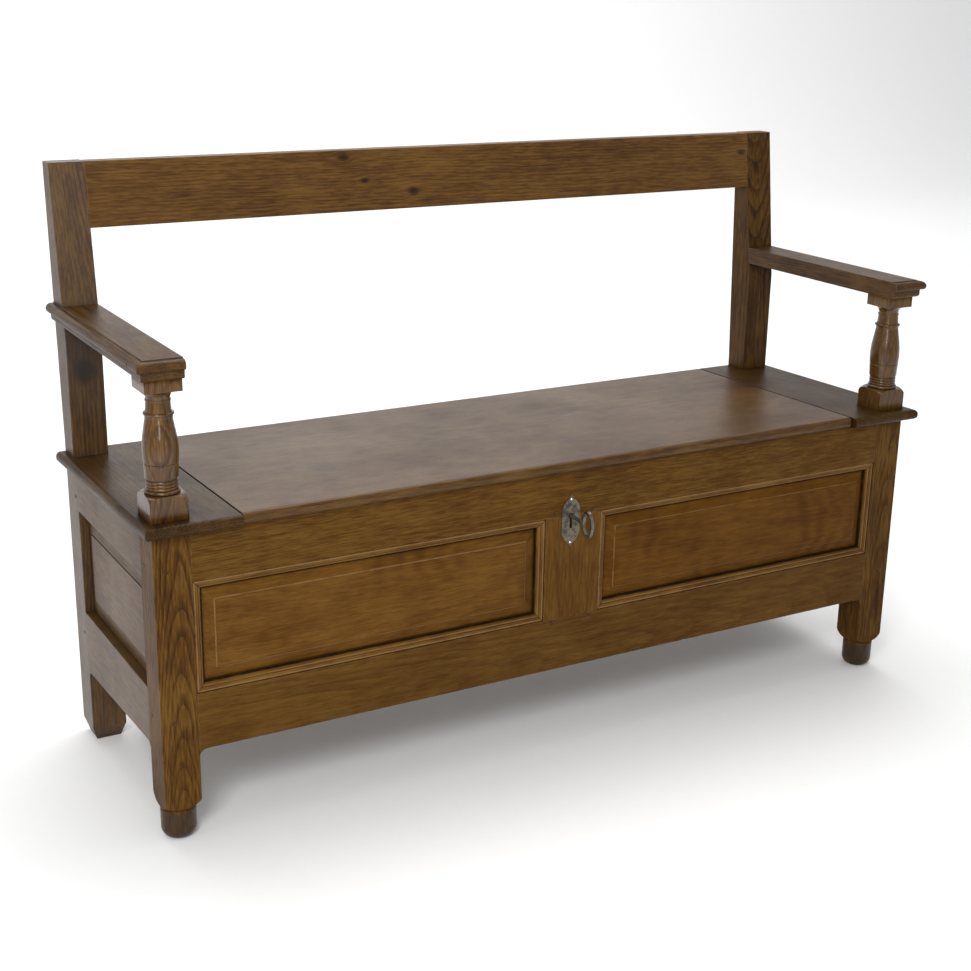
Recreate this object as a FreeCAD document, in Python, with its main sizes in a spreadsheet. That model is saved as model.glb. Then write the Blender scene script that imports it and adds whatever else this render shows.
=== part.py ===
import FreeCAD, Part
import math
import os

import Sketcher
from FreeCAD import Rotation, Vector

# Box settle: a joined oak chest with a hinged lid for a seat, arms on turned supports, an open
# back with one crest rail, and a chest lock whose key shoots its bolt into a staple on the lid.
# Millimetres. X runs along the bench, Y from front to back, Z up from the floor. Sizes named
# set or inset are measured inwards from a face. A mortise is longer than its tenon by a gap.

SIZES = {
    # carcase
    "length": 1412,
    "depth": 438,
    "seat_height": 510,
    "seat_fall": 9,
    "total_height": 965,
    "post_width": 57,
    # feet
    "foot_height": 52,
    "foot_radius": 27,
    "foot_sole_radius": 15,
    "foot_sole_bulge": 3.4,
    "foot_sole_height": 16,
    "foot_line_height": 46,
    "foot_line_depth": 0.8,
    "foot_top_radius": 25,
    "pommel_height": 15,
    "pommel_bulge": 3,
    "rear_foot_height": 24,
    "rear_foot_inset": 8,
    # rear posts above the seat
    "back_post_depth": 47,
    "rake_height": 690,
    "rake_front": 36,
    "lean_height": 520,
    "lean_back": 20,
    # turned arm supports, from the seat upwards
    "block_height": 29,
    "tongue_height": 8,
    "base_disc_radius": 24.2,
    "base_disc_height": 5.5,
    "base_disc_bulge": 1.6,
    "base_ring_radius": 22.2,
    "base_ring_height": 4.8,
    "base_ring_bulge": 1.3,
    "base_groove_radius": 21.6,
    "base_groove_height": 2.5,
    "vase_foot_radius": 24,
    "vase_line_height": 21,
    "vase_line_radius": 25.2,
    "vase_line_depth": 0.9,
    "vase_belly_bulge": 1.2,
    "vase_shoulder_radius": 24.3,
    "vase_shoulder_height": 60,
    "vase_top_radius": 19.6,
    "vase_height": 87,
    "neck_fillet_height": 4,
    "neck_ring_radius": 19.8,
    "neck_ring_height": 4.5,
    "neck_ring_bulge": 2.2,
    "neck_low_radius": 18.8,
    "neck_radius": 17.3,
    "neck_height": 16,
    "annulet_radius": 18.3,
    "annulet_height": 2,
    "flare_radius": 25.4,
    "flare_hollow": 2.6,
    "capital_height": 19,
    "capital_inset": 1,
    # framed carcase
    "rail_thick": 27,
    "top_rail_height": 78,
    "panel_bottom": 237,
    "rail_bottom": 146,
    "end_rail_fall": 15,
    "bracket_reach": 12,
    "bracket_drop": 10,
    "bracket_hollow": 3,
    "muntin_width": 106,
    "tenon_thick": 9,
    "tenon_set": 9,
    "tenon_length": 44,
    "tenon_edge": 12,
    "top_tenon_height": 46,
    "bottom_tenon_height": 56,
    "muntin_tenon_length": 24,
    "muntin_tenon_edge": 10,
    "mortise_gap": 1,
    "mortise_wall": 2,
    "groove_set": 13,
    "end_groove_set": 15,
    "groove_width": 7,
    "groove_depth": 8,
    "panel_play": 1,
    "tongue_play": 0.2,
    # mouldings and raised panels
    "moulding_width": 14,
    "moulding_sink": 1.5,
    "moulding_round": 9,
    "panel_margin": 2,
    "end_panel_margin": 14,
    "bevel_step": 1.2,
    "bevel_width": 18,
    "bevel_rise": 6,
    "end_bevel_rise": 3.5,
    "field_step": 1.2,
    # floor of the chest
    "floor_height": 194,
    "floor_thick": 12,
    "floor_gap": 1.5,
    "floor_play": 0.5,
    "bearer_width": 34,
    "bearer_height": 30,
    "bearer_housing": 8,
    "bearer_inset": 70,
    # seat boards
    "board_thick": 18,
    "side_overhang": 16,
    "front_overhang": 24,
    "lid_overhang": 13,
    "end_board_width": 129,
    "lid_gap": 3.5,
    "nose_round": 7.5,
    "post_play": 0.3,
    "batten_width": 48,
    "batten_thick": 20,
    "batten_inset": 74,
    "batten_margin": 8,
    "batten_chamfer": 5,
    # arms
    "arm_top": 746,
    "arm_thick": 30,
    "arm_overhang": 6,
    "arm_front": 8,
    "arm_nose": 7.5,
    "nose_low": 13.5,
    "nose_thick": 15,
    "nose_top_round": 8.5,
    "nose_low_round": 5.5,
    "arm_low_round": 5,
    "arm_field_inset": 5,
    "arm_strip_length": 56,
    "arm_tenon_thick": 14,
    "arm_tenon_height": 18,
    "arm_tenon_length": 30,
    "arm_pin_radius": 12,
    "arm_pin_length": 25,
    "pin_play": 0.1,
    # crest rail
    "crest_height": 102,
    "crest_thick": 26,
    "crest_round": 2,
    "crest_tenon_set": 8,
    "crest_tenon_thick": 10,
    "crest_tenon_length": 40,
    "crest_tenon_edge": 14,
    # wooden pegs
    "peg_radius": 3.5,
    "peg_set": 19,
    "peg_edge": 9,
    "peg_proud": 0.4,
    "end_peg_set": 14,
    "muntin_peg_set": 37,
    "muntin_peg_edge": 6,
    "crest_peg_set": 5.8,
    "arm_peg_length": 44,
    # lid hinges
    "hinge_inset": 143.5,
    "hinge_length": 64,
    "leaf_thick": 2,
    "fixed_leaf_length": 38,
    "lid_leaf_length": 15,
    "knuckle_radius": 4.5,
    "knuckle_length": 24,
    "knuckle_gap": 0.4,
    "knuckle_play": 0.3,
    "hinge_pin_radius": 2.4,
    "hinge_pin_play": 0.05,
    # escutcheon and key
    "key_offset": -6,
    "keyhole_radius": 4.4,
    "keyhole_slot": 4.8,
    "keyhole_drop": 21,
    "plate_drop": 8.5,
    "plate_height": 97,
    "plate_width": 35,
    "plate_thick": 1.6,
    "plate_neck": 15,
    "plate_neck_height": 72,
    "plate_side_height": 30,
    "plate_tip_hollow": 2,
    "plate_shoulder_bulge": 2.5,
    "nail_spacing": 74,
    "nail_radius": 1.5,
    "nail_head_radius": 2.8,
    "nail_tip_radius": 1.4,
    "nail_head_height": 1.3,
    "nail_length": 12,
    "shank_radius": 3.2,
    "shank_play": 0.1,
    "collar_radius": 5,
    "collar_length": 4,
    "collar_gap": 31,
    "bow_half_width": 15.5,
    "bow_half_height": 22.5,
    "bow_bar": 5.5,
    "bow_thick": 5,
    "bit_length": 19,
    "bit_thick": 3.2,
    "bit_width": 8,
    "bit_set": 7,
    # lock
    "case_left": 40,
    "case_right": 56,
    "case_rise": 64,
    "case_drop": 28,
    "case_depth": 20,
    "case_wall": 2,
    "bolt_thick": 4,
    "bolt_height": 8,
    "bolt_rise": 49,
    "bolt_set": 8,
    "bolt_tail": 24,
    "bolt_tip": 30.5,
    "bolt_foot_set": 8.2,
    "bolt_foot_width": 8,
    "bolt_foot_drop": 2,
    "bolt_play": 0.1,
    "guide_set": 2,
    "guide_width": 20,
    "guide_height": 4,
    "staple_offset": 35,
    "staple_thick": 5,
    "staple_width": 12,
    "staple_eye_width": 6,
    "staple_eye_height": 13,
    "staple_eye_foot": 3,
    "staple_slot_play": 2,
    "staple_plate_length": 40,
    "staple_plate_width": 20,
    "staple_plate_thick": 2,
    "staple_plate_gap": 1.5,
}

BASE_RINGS = 3
LEFT, RIGHT = "left", "right"
SIDES = (LEFT, RIGHT)


class Size:
    """A length that keeps both its number and the sheet expression it comes from."""

    def __init__(self, value, text):
        self.value = value
        self.text = text

    @staticmethod
    def of(item):
        return item if isinstance(item, Size) else Size(float(item), repr(float(item)))

    def __add__(self, other):
        other = Size.of(other)
        return Size(self.value + other.value, f"({self.text} + {other.text})")

    def __sub__(self, other):
        other = Size.of(other)
        return Size(self.value - other.value, f"({self.text} - {other.text})")

    def __mul__(self, other):
        other = Size.of(other)
        return Size(self.value * other.value, f"({self.text} * {other.text})")

    def __truediv__(self, other):
        other = Size.of(other)
        return Size(self.value / other.value, f"({self.text} / {other.text})")

    def __radd__(self, other):
        return Size.of(other) + self

    def __rsub__(self, other):
        return Size.of(other) - self

    def __rmul__(self, other):
        return Size.of(other) * self

    def __neg__(self):
        return 0 - self


class Sheet:
    """The driving dimensions, each in a cell with its own alias."""

    def __init__(self, doc, sizes):
        self.sizes = sizes
        self.cells = doc.addObject("Spreadsheet::Sheet", "Sizes")
        for row, (alias, number) in enumerate(sizes.items(), start=1):
            self.cells.set(f"A{row}", alias)
            self.cells.set(f"B{row}", str(number))
            self.cells.setAlias(f"B{row}", alias)

    def __getattr__(self, alias):
        return Size(float(self.sizes[alias]), f"Sizes.{alias}")


doc = FreeCAD.newDocument("Settle")
S = Sheet(doc, SIZES)
doc.recompute()


def bind(item, name, size):
    item.setExpression(name, Size.of(size).text)


def bind_place(item, name, at):
    for axis, size in zip("xyz", at):
        bind(item, f"{name}.Base.{axis}", size)


def arc_between(start, end, bulge):
    """Arc that leaves its chord by the bulge, to the right of the way from start to end."""
    chord = end - start
    radius = (chord.Length**2 / 4 + bulge**2) / (2 * abs(bulge))
    left = Vector(-chord.y, chord.x, 0).normalize()
    centre = (start + end) / 2 + left * math.copysign(radius - abs(bulge), bulge)
    circle = Part.Circle(centre, Vector(0, 0, 1), radius)
    first, last = (start, end) if bulge > 0 else (end, start)
    return Part.ArcOfCircle(circle, circle.parameter(first), circle.parameter(last))


def arc_radius(corner, after, bulge):
    across = after[0] - corner[0]
    along = after[1] - corner[1]
    return (across * across + along * along) / (bulge * 8) + bulge / 2


def draw_outline(sketch, corners):
    """Close an outline drawn counterclockwise.

    A corner is (x, y), or (x, y, bulge) where an arc leads on from it: outwards for a positive
    bulge, inwards for a negative one.
    """
    first = sketch.GeometryCount
    corners = [[Size.of(size) for size in corner] for corner in corners]
    points = [Vector(corner[0].value, corner[1].value, 0) for corner in corners]
    bulges = [corner[2] if len(corner) == 3 else None for corner in corners]
    starts = [2 if bulge and bulge.value < 0 else 1 for bulge in bulges]
    following = [(index + 1) % len(corners) for index in range(len(corners))]
    for index, after in enumerate(following):
        start, end, bulge = points[index], points[after], bulges[index]
        line = arc_between(start, end, bulge.value) if bulge else Part.LineSegment(start, end)
        sketch.addGeometry(line, False)
    for index, after in enumerate(following):
        line, corner, bulge = first + index, corners[index], bulges[index]
        ends = (line, 3 - starts[index], first + after, starts[after])
        sketch.addConstraint(Sketcher.Constraint("Coincident", *ends))
        for mark, kind, size in (("Across", "DistanceX", corner[0]), ("Along", "DistanceY", corner[1])):
            rule = Sketcher.Constraint(kind, -1, 1, line, starts[index], size.value)
            name_rule(sketch, sketch.addConstraint(rule), f"{mark}{line}", size)
        if bulge:
            radius = arc_radius(corner, corners[after], bulge if bulge.value > 0 else -bulge)
            rule = Sketcher.Constraint("Radius", line, radius.value)
            name_rule(sketch, sketch.addConstraint(rule), f"Curve{line}", radius)


def name_rule(sketch, number, name, size):
    sketch.renameConstraint(number, name)
    bind(sketch, f"Constraints.{name}", size)


def rectangle(x_low, x_high, y_low, y_high):
    return [(x_low, y_low), (x_high, y_low), (x_high, y_high), (x_low, y_high)]


def square(half):
    return rectangle(-half, half, -half, half)


def inset(low_x, high_x, low_y, high_y, margin):
    return rectangle(low_x + margin, high_x - margin, low_y + margin, high_y - margin)


def oval(x, y, half_width, half_height):
    """Four tangent arcs. The short arcs' centres and the long ones' make a 3-4-5 triangle."""
    spread = (half_height - half_width) * 2.5
    end_radius = half_width - spread * 0.2
    side_radius = end_radius + spread
    reach = end_radius * 0.8
    rise = side_radius * 0.6
    return [
        (x + reach, y - rise, side_radius * 0.2),
        (x + reach, y + rise, end_radius * 0.4),
        (x - reach, y + rise, side_radius * 0.2),
        (x - reach, y - rise, end_radius * 0.4),
    ]


def turn_round(corners):
    return [(-Size.of(x), y, *(-Size.of(bulge) for bulge in rest)) for x, y, *rest in corners]


def bench_place(side, at):
    """Place in the bench's frame of a point given by its drawing measures."""
    x, y, z = at
    if side:
        x = x - HALF if side == LEFT else HALF - x
    return (x, FRONT + y, z)


class Peg:
    """A round wooden peg: its outer end, its way in and its length."""

    def __init__(self, at, axis, length):
        self.at = at
        self.axis = axis
        self.length = length


class Piece:
    """One sub-part as a PartDesign body.

    A left or right piece measures X inwards from the posts' outer face, so both are drawn alike
    and the right-hand one comes out turned round. Other pieces measure X from the bench's middle.
    Y runs backwards from the front posts' front face and Z up from the floor.
    """

    made = []

    def __init__(self, name, side=None, at=(0, 0, 0)):
        label = f"{name}_{side}" if side else name
        self.body = doc.addObject("PartDesign::Body", label)
        self.body.Label = label
        self.side = side
        self.at = at
        self.turned_round = side == RIGHT
        bind_place(self.body, "Placement", bench_place(side, at))
        Piece.made.append(self.body)

    def sketch(self, name, plane, offset, outlines):
        """Sketch on one of the body's origin planes, moved along the plane's normal."""
        sketch = self.body.newObject("Sketcher::SketchObject", name)
        role = f"{plane}_Plane"
        face = next(item for item in self.body.Origin.OriginFeatures if item.Role == role)
        sketch.AttachmentSupport = (face, [""])
        sketch.MapMode = "FlatFace"
        bind(sketch, "AttachmentOffset.Base.z", offset)
        for corners in outlines:
            if self.turned_round and plane != "YZ":
                corners = turn_round(corners)
            draw_outline(sketch, corners)
        return sketch

    def extrude(self, kind, name, plane, low, thick, outlines):
        """Pad or pocket outlines between low and low + thick along the plane's normal."""
        far = Size.of(low) + thick
        if plane == "XZ":
            offset = -far if kind == "Pad" else -Size.of(low)
        elif plane == "YZ" and self.turned_round:
            offset = -far if kind == "Pad" else -Size.of(low)
        else:
            offset = low if kind == "Pad" else far
        profile = self.sketch(f"{name}_outline", plane, offset, outlines)
        feature = self.body.newObject(f"PartDesign::{kind}", name)
        feature.Profile = profile
        bind(feature, "Length", thick)
        return feature

    def pad(self, name, plane, low, thick, *outlines):
        return self.extrude("Pad", name, plane, low, thick, outlines)

    def pocket(self, name, plane, low, thick, *outlines):
        return self.extrude("Pocket", name, plane, low, thick, outlines)

    def loft(self, name, plane, first, second):
        """Solid between two outlines, each given with its place along the plane's normal."""
        sign = -1 if plane == "XZ" or (plane == "YZ" and self.turned_round) else 1
        low = self.sketch(f"{name}_start", plane, Size.of(first[0]) * sign, [first[1]])
        high = self.sketch(f"{name}_end", plane, Size.of(second[0]) * sign, [second[1]])
        feature = self.body.newObject("PartDesign::AdditiveLoft", name)
        feature.Profile = low
        feature.Sections = [high]
        feature.Ruled = True
        return feature

    def spin(self, name, corners, kind="Revolution"):
        """Turn a half profile, given as radius and height, about the body's upright axis."""
        sketch = self.body.newObject("Sketcher::SketchObject", f"{name}_profile")
        planes = self.body.Origin.OriginFeatures
        sketch.AttachmentSupport = (next(item for item in planes if item.Role == "XZ_Plane"), [""])
        sketch.MapMode = "FlatFace"
        draw_outline(sketch, corners)
        feature = self.body.newObject(f"PartDesign::{kind}", name)
        feature.Profile = sketch
        feature.ReferenceAxis = (sketch, ["V_Axis"])
        feature.Angle = 360
        return feature

    def block(self, name, low, size, kind="Additive"):
        """A tenon or lug, from its low corner and its three sizes."""
        x, y, z = low
        if self.turned_round:
            x = -(Size.of(x) + size[0])
        feature = self.body.newObject(f"PartDesign::{kind}Box", name)
        for side, length in zip(("Length", "Width", "Height"), size):
            bind(feature, side, length)
        bind_place(feature, "Placement", (x, y, z))
        return feature

    def mortise(self, name, low, size):
        return self.block(name, low, size, "Subtractive")

    def rod(self, name, at, axis, radius, length, kind="Additive"):
        """A round pin from its foot along an axis."""
        x, y, z = at
        if self.turned_round:
            x = -Size.of(x)
            axis = (-axis[0], axis[1], axis[2])
        feature = self.body.newObject(f"PartDesign::{kind}Cylinder", name)
        bind(feature, "Radius", radius)
        bind(feature, "Height", length)
        turn = Rotation(Vector(0, 0, 1), Vector(*axis))
        feature.Placement = FreeCAD.Placement(Vector(0, 0, 0), turn)
        bind_place(feature, "Placement", (x, y, z))
        return feature

    def hole(self, name, at, axis, radius, length):
        return self.rod(name, at, axis, radius, length, "Subtractive")

    def peg_hole(self, name, peg, side=None):
        """Bore for a peg. A piece of the bench's middle says on which side the peg is."""
        x, y, z = peg.at
        axis = peg.axis
        if not self.side:
            x = x - HALF if side == LEFT else HALF - x
            axis = axis if side == LEFT else (-axis[0], axis[1], axis[2])
        place = (x - self.at[0], y - self.at[1], z - self.at[2])
        return self.hole(name, place, axis, S.peg_radius, peg.length)

    def lies_at(self, edge, axis, size):
        """True for an edge whose points all have one coordinate, in the drawing's measures."""
        place = Size.of(size).value * (-1 if axis == "X" and self.turned_round else 1)
        low, high = (getattr(edge.BoundBox, axis + end) for end in ("Min", "Max"))
        return abs(low - place) < 0.01 and abs(high - place) < 0.01

    def fillet(self, name, size, chosen):
        """Round those edges of the body so far that a test picks."""
        return self.dress("Fillet", "Radius", name, size, chosen)

    def chamfer(self, name, size, chosen):
        return self.dress("Chamfer", "Size", name, size, chosen)

    def dress(self, kind, measure, name, size, chosen):
        doc.recompute()
        base = self.body.Tip
        edges = enumerate(base.Shape.Edges, start=1)
        picked = [f"Edge{number}" for number, edge in edges if chosen(edge)]
        feature = self.body.newObject(f"PartDesign::{kind}", name)
        feature.Base = (base, picked)
        bind(feature, measure, size)
        return feature


# Lines of the whole bench that several pieces share
HALF = S.length / 2
POST = S.post_width
HALF_POST = S.post_width / 2
INNER = HALF - POST
REAR_FRAME = S.depth - POST
KEY_REACH = S.collar_gap + S.collar_length + 2 * S.bow_half_width
FRONT = (KEY_REACH - S.depth - S.lean_back) / 2
BACK_POST_FRONT = S.depth - S.back_post_depth

BLOCK_TOP = S.seat_height + S.block_height + S.tongue_height
ARM_UNDER = S.arm_top - S.arm_thick
NOSE_UNDER = ARM_UNDER + S.nose_low
NOSE_TOP = NOSE_UNDER + S.nose_thick
NOSE_OUT = -S.arm_overhang - S.arm_nose
ARM_REAR = BACK_POST_FRONT + S.arm_strip_length
ARM_TENON_LOW = ARM_UNDER + (S.arm_thick - S.arm_tenon_height) / 2
CREST_UNDER = S.total_height - S.crest_height
PANEL_TOP = S.seat_height - S.board_thick - S.top_rail_height

MORTISE = S.tenon_length + S.mortise_gap
END_MORTISE = POST - S.tenon_set - S.tenon_thick - S.mortise_wall
END_TENON = END_MORTISE - S.mortise_gap
LEVELS = {
    "top": (PANEL_TOP + S.tenon_edge, S.top_tenon_height),
    "bottom": (S.panel_bottom - S.tenon_edge - S.bottom_tenon_height, S.bottom_tenon_height),
}
PEG_HEIGHTS = {
    "top": PANEL_TOP + S.tenon_edge + S.peg_edge,
    "bottom": S.panel_bottom - S.tenon_edge - S.bottom_tenon_height / 2,
}
GROOVE_LOW = S.panel_bottom - S.groove_depth
GROOVE_RUN = PANEL_TOP - S.panel_bottom + 2 * S.groove_depth
TONGUE = S.groove_depth - S.panel_play
TONGUE_THICK = S.groove_width - 2 * S.tongue_play
MUNTIN_HALF = S.muntin_width / 2
MUNTIN_TENON_HALF = MUNTIN_HALF - S.muntin_tenon_edge
MUNTIN_FACE = HALF - MUNTIN_HALF

# The front and the back frame: outer face, tenons and panel groove, as distances from the front
FRAMES = {
    "front": (Size.of(0), S.tenon_set, S.groove_set),
    "back": (
        S.depth - S.rail_thick,
        S.depth - S.tenon_set - S.tenon_thick,
        S.depth - S.groove_set - S.groove_width,
    ),
}

BOARDS_HEIGHT = S.floor_height - S.floor_thick
BEARER_FOOT = BOARDS_HEIGHT - S.bearer_height
BEARERS = {
    "left": S.bearer_inset - INNER,
    "middle": Size.of(0),
    "right": INNER - S.bearer_inset,
}

LID_HALF = HALF - S.end_board_width - S.lid_gap
HINGE_AXIS = S.depth + S.knuckle_radius + S.knuckle_play
KEY_AT = (S.key_offset, 0, PANEL_TOP)
BOLT_FRONT = S.rail_thick + S.bolt_set
STAPLE_MIDDLE = BOLT_FRONT + S.bolt_thick / 2
PLATE_MIDDLE = -S.plate_drop


def seat_top(back):
    """Height of the seat's upper face at a distance back from the front posts' face."""
    return S.seat_height - S.seat_fall * back / S.depth


def seat_under(back):
    return seat_top(back) - S.board_thick


def post_front(height):
    """Front face of a raked rear post, at or above the height where the rake starts."""
    rise = S.total_height - S.rake_height
    return BACK_POST_FRONT + S.rake_front * (height - S.rake_height) / rise


def post_back(height):
    rise = S.total_height - S.lean_height
    return S.depth + S.lean_back * (height - S.lean_height) / rise


def crest_section(start, thick, low, high):
    """Slanted section that follows the rear posts' fronts between two heights."""
    return [
        (post_front(low) + start, low),
        (post_front(low) + start + thick, low),
        (post_front(high) + start + thick, high),
        (post_front(high) + start, high),
    ]


def under_seat(start, end, drop):
    """Section of a batten or plate that lies against the seat's sloping underside."""
    return [
        (start, seat_under(start) - drop),
        (end, seat_under(end) - drop),
        (end, seat_under(end)),
        (start, seat_under(start)),
    ]


# Wooden pegs, measured like the left and right pieces that they hold

PEG_REACH = S.tenon_set + S.tenon_thick + S.mortise_wall / 2
DRIVEN = PEG_REACH + S.peg_proud
CREST_PEG_HEIGHT = CREST_UNDER + S.crest_height / 2
ARM_PEG_HEIGHT = NOSE_UNDER + (S.nose_thick + S.nose_low_round - S.nose_top_round) / 2

FRAME_PEGS = {
    "front": {
        level: Peg((S.peg_set, -S.peg_proud, height), (0, 1, 0), DRIVEN)
        for level, height in PEG_HEIGHTS.items()
    },
    "back": {
        level: Peg((S.peg_set, S.depth + S.peg_proud, height), (0, -1, 0), DRIVEN)
        for level, height in PEG_HEIGHTS.items()
    },
}
END_PEG_PLACES = {"front": POST - S.end_peg_set, "rear": REAR_FRAME + S.end_peg_set}
END_PEGS = {
    level: {
        end: Peg((-S.peg_proud, back, height), (1, 0, 0), DRIVEN)
        for end, back in END_PEG_PLACES.items()
    }
    for level, height in PEG_HEIGHTS.items()
}
MUNTIN_PEG_HEIGHTS = {
    "top": PANEL_TOP + S.muntin_peg_edge,
    "bottom": S.panel_bottom - S.muntin_peg_edge,
}
MUNTIN_PEGS = {
    frame: {
        level: Peg((HALF - S.muntin_peg_set, pegs["top"].at[1], height), pegs["top"].axis, DRIVEN)
        for level, height in MUNTIN_PEG_HEIGHTS.items()
    }
    for frame, pegs in FRAME_PEGS.items()
}
CREST_PEG_START = post_back(CREST_PEG_HEIGHT) + S.peg_proud
CREST_PEG = Peg(
    (POST - S.peg_set, CREST_PEG_START, CREST_PEG_HEIGHT),
    (0, -1, 0),
    CREST_PEG_START - post_front(CREST_PEG_HEIGHT) - S.crest_peg_set,
)
ARM_PEG = Peg((NOSE_OUT - S.peg_proud, HALF_POST, ARM_PEG_HEIGHT), (1, 0, 0), S.arm_peg_length)


# Posts


def foot_profile():
    line = S.foot_line_height
    depth = S.foot_line_depth
    return [
        (0, 0),
        (S.foot_sole_radius, 0, S.foot_sole_bulge),
        (S.foot_radius, S.foot_sole_height),
        (S.foot_radius, line),
        (S.foot_radius - depth, line + depth),
        (S.foot_radius, line + 2 * depth),
        (S.foot_top_radius, S.foot_height),
        (0, S.foot_height),
    ]


def arm_support_profile():
    """Half profile of the turning between the block on the seat and the capital."""
    disc = BLOCK_TOP + S.base_disc_height
    rings = [disc + S.base_ring_height * count for count in range(BASE_RINGS + 1)]
    vase = rings[-1] + S.base_groove_height
    line = vase + S.vase_line_height
    depth = S.vase_line_depth
    vase_top = vase + S.vase_height
    neck_ring = vase_top + S.neck_fillet_height
    neck = neck_ring + S.neck_ring_height
    annulet = neck + S.neck_height
    flare = annulet + S.annulet_height
    capital = ARM_UNDER - S.capital_height
    return [
        (0, BLOCK_TOP),
        (S.base_disc_radius, BLOCK_TOP, S.base_disc_bulge),
        (S.base_disc_radius, disc),
        *[(S.base_ring_radius, height, S.base_ring_bulge) for height in rings[:-1]],
        (S.base_ring_radius, rings[-1]),
        (S.base_groove_radius, rings[-1]),
        (S.base_groove_radius, vase),
        (S.vase_foot_radius, vase),
        (S.vase_line_radius, line),
        (S.vase_line_radius - depth, line + depth),
        (S.vase_line_radius, line + 2 * depth, S.vase_belly_bulge),
        (S.vase_shoulder_radius, vase + S.vase_shoulder_height),
        (S.vase_top_radius, vase_top),
        (S.neck_ring_radius, vase_top),
        (S.neck_ring_radius, neck_ring, S.neck_ring_bulge),
        (S.neck_ring_radius, neck),
        (S.neck_low_radius, neck),
        (S.neck_radius, annulet),
        (S.annulet_radius, annulet),
        (S.annulet_radius, flare),
        (S.neck_radius, flare, -S.flare_hollow),
        (S.flare_radius, capital),
        (0, capital),
    ]


def front_post(side):
    post = Piece("front_post", side, (HALF_POST, HALF_POST, 0))
    post.pad("square", "XY", S.foot_height, BLOCK_TOP - S.foot_height, square(HALF_POST))
    leg_start = S.foot_height + S.pommel_height
    post.spin("leg_shoulder", pommel_cut(S.foot_top_radius, S.foot_height, leg_start), "Groove")
    block_end = BLOCK_TOP - S.tongue_height
    post.spin("block_tongue", pommel_cut(S.base_disc_radius, BLOCK_TOP, block_end), "Groove")
    post.spin("foot", foot_profile())
    post.spin("arm_support", arm_support_profile())
    capital = ARM_UNDER - S.capital_height
    post.pad("capital", "XY", capital, S.capital_height, square(HALF_POST - S.capital_inset))
    post.rod("arm_pin", (0, 0, ARM_UNDER), (0, 0, 1), S.arm_pin_radius, S.arm_pin_length)
    for level, (low, height) in LEVELS.items():
        start = (HALF_POST - MORTISE, S.tenon_set - HALF_POST, low)
        post.mortise(f"{level}_front_mortise", start, (MORTISE, S.tenon_thick, height))
        start = (S.tenon_set - HALF_POST, HALF_POST - END_MORTISE, low)
        post.mortise(f"{level}_end_mortise", start, (S.tenon_thick, END_MORTISE, height))
        post.peg_hole(f"{level}_front_peg_hole", FRAME_PEGS["front"][level])
        post.peg_hole(f"{level}_end_peg_hole", END_PEGS[level]["front"])
    start = (HALF_POST - S.groove_depth, S.groove_set - HALF_POST, GROOVE_LOW)
    post.mortise("front_groove", start, (S.groove_depth, S.groove_width, GROOVE_RUN))
    start = (S.end_groove_set - HALF_POST, HALF_POST - S.groove_depth, GROOVE_LOW)
    post.mortise("end_groove", start, (S.groove_width, S.groove_depth, GROOVE_RUN))
    post.peg_hole("arm_peg_hole", ARM_PEG)


def pommel_cut(radius, end, square_end):
    """Half profile outside the curve that rounds a square's corners down to a turning."""
    corner = HALF_POST * math.sqrt(2)
    if end.value < square_end.value:
        return [(radius, end), (corner, end), (corner, square_end, -S.pommel_bulge)]
    return [(radius, end, -S.pommel_bulge), (corner, square_end), (corner, end)]


def rear_post(side):
    post = Piece("rear_post", side)
    outline = [
        (REAR_FRAME, S.rear_foot_height),
        (S.depth, S.rear_foot_height),
        (S.depth, S.lean_height),
        (post_back(S.total_height), S.total_height),
        (post_front(S.total_height), S.total_height),
        (BACK_POST_FRONT, S.rake_height),
        (BACK_POST_FRONT, seat_under(BACK_POST_FRONT)),
        (REAR_FRAME, seat_under(REAR_FRAME)),
    ]
    post.pad("post", "YZ", 0, POST, outline)
    sole = inset(0, POST, REAR_FRAME, S.depth, S.rear_foot_inset)
    leg = rectangle(0, POST, REAR_FRAME, S.depth)
    post.loft("foot", "XY", (0, sole), (S.rear_foot_height, leg))
    tenon = FRAMES["back"][1]
    groove = FRAMES["back"][2]
    for level, (low, height) in LEVELS.items():
        start = (POST - MORTISE, tenon, low)
        post.mortise(f"{level}_back_mortise", start, (MORTISE, S.tenon_thick, height))
        start = (S.tenon_set, REAR_FRAME, low)
        post.mortise(f"{level}_end_mortise", start, (S.tenon_thick, END_MORTISE, height))
        post.peg_hole(f"{level}_back_peg_hole", FRAME_PEGS["back"][level])
        post.peg_hole(f"{level}_end_peg_hole", END_PEGS[level]["rear"])
    start = (POST - S.groove_depth, groove, GROOVE_LOW)
    post.mortise("back_groove", start, (S.groove_depth, S.groove_width, GROOVE_RUN))
    start = (S.end_groove_set, REAR_FRAME, GROOVE_LOW)
    post.mortise("end_groove", start, (S.groove_width, S.groove_depth, GROOVE_RUN))
    start = ((POST - S.arm_tenon_thick) / 2, BACK_POST_FRONT, ARM_TENON_LOW)
    size = (S.arm_tenon_thick, S.arm_tenon_length + S.mortise_gap, S.arm_tenon_height)
    post.mortise("arm_mortise", start, size)
    length = S.crest_tenon_length + S.mortise_gap
    post.pocket("crest_mortise", "YZ", POST - length, length, crest_tenon_section())
    post.peg_hole("crest_peg_hole", CREST_PEG)


def crest_tenon_section():
    low = CREST_UNDER + S.crest_tenon_edge
    high = S.total_height - S.crest_tenon_edge
    return crest_section(S.crest_tenon_set, S.crest_tenon_thick, low, high)


# Front and back frames


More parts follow.
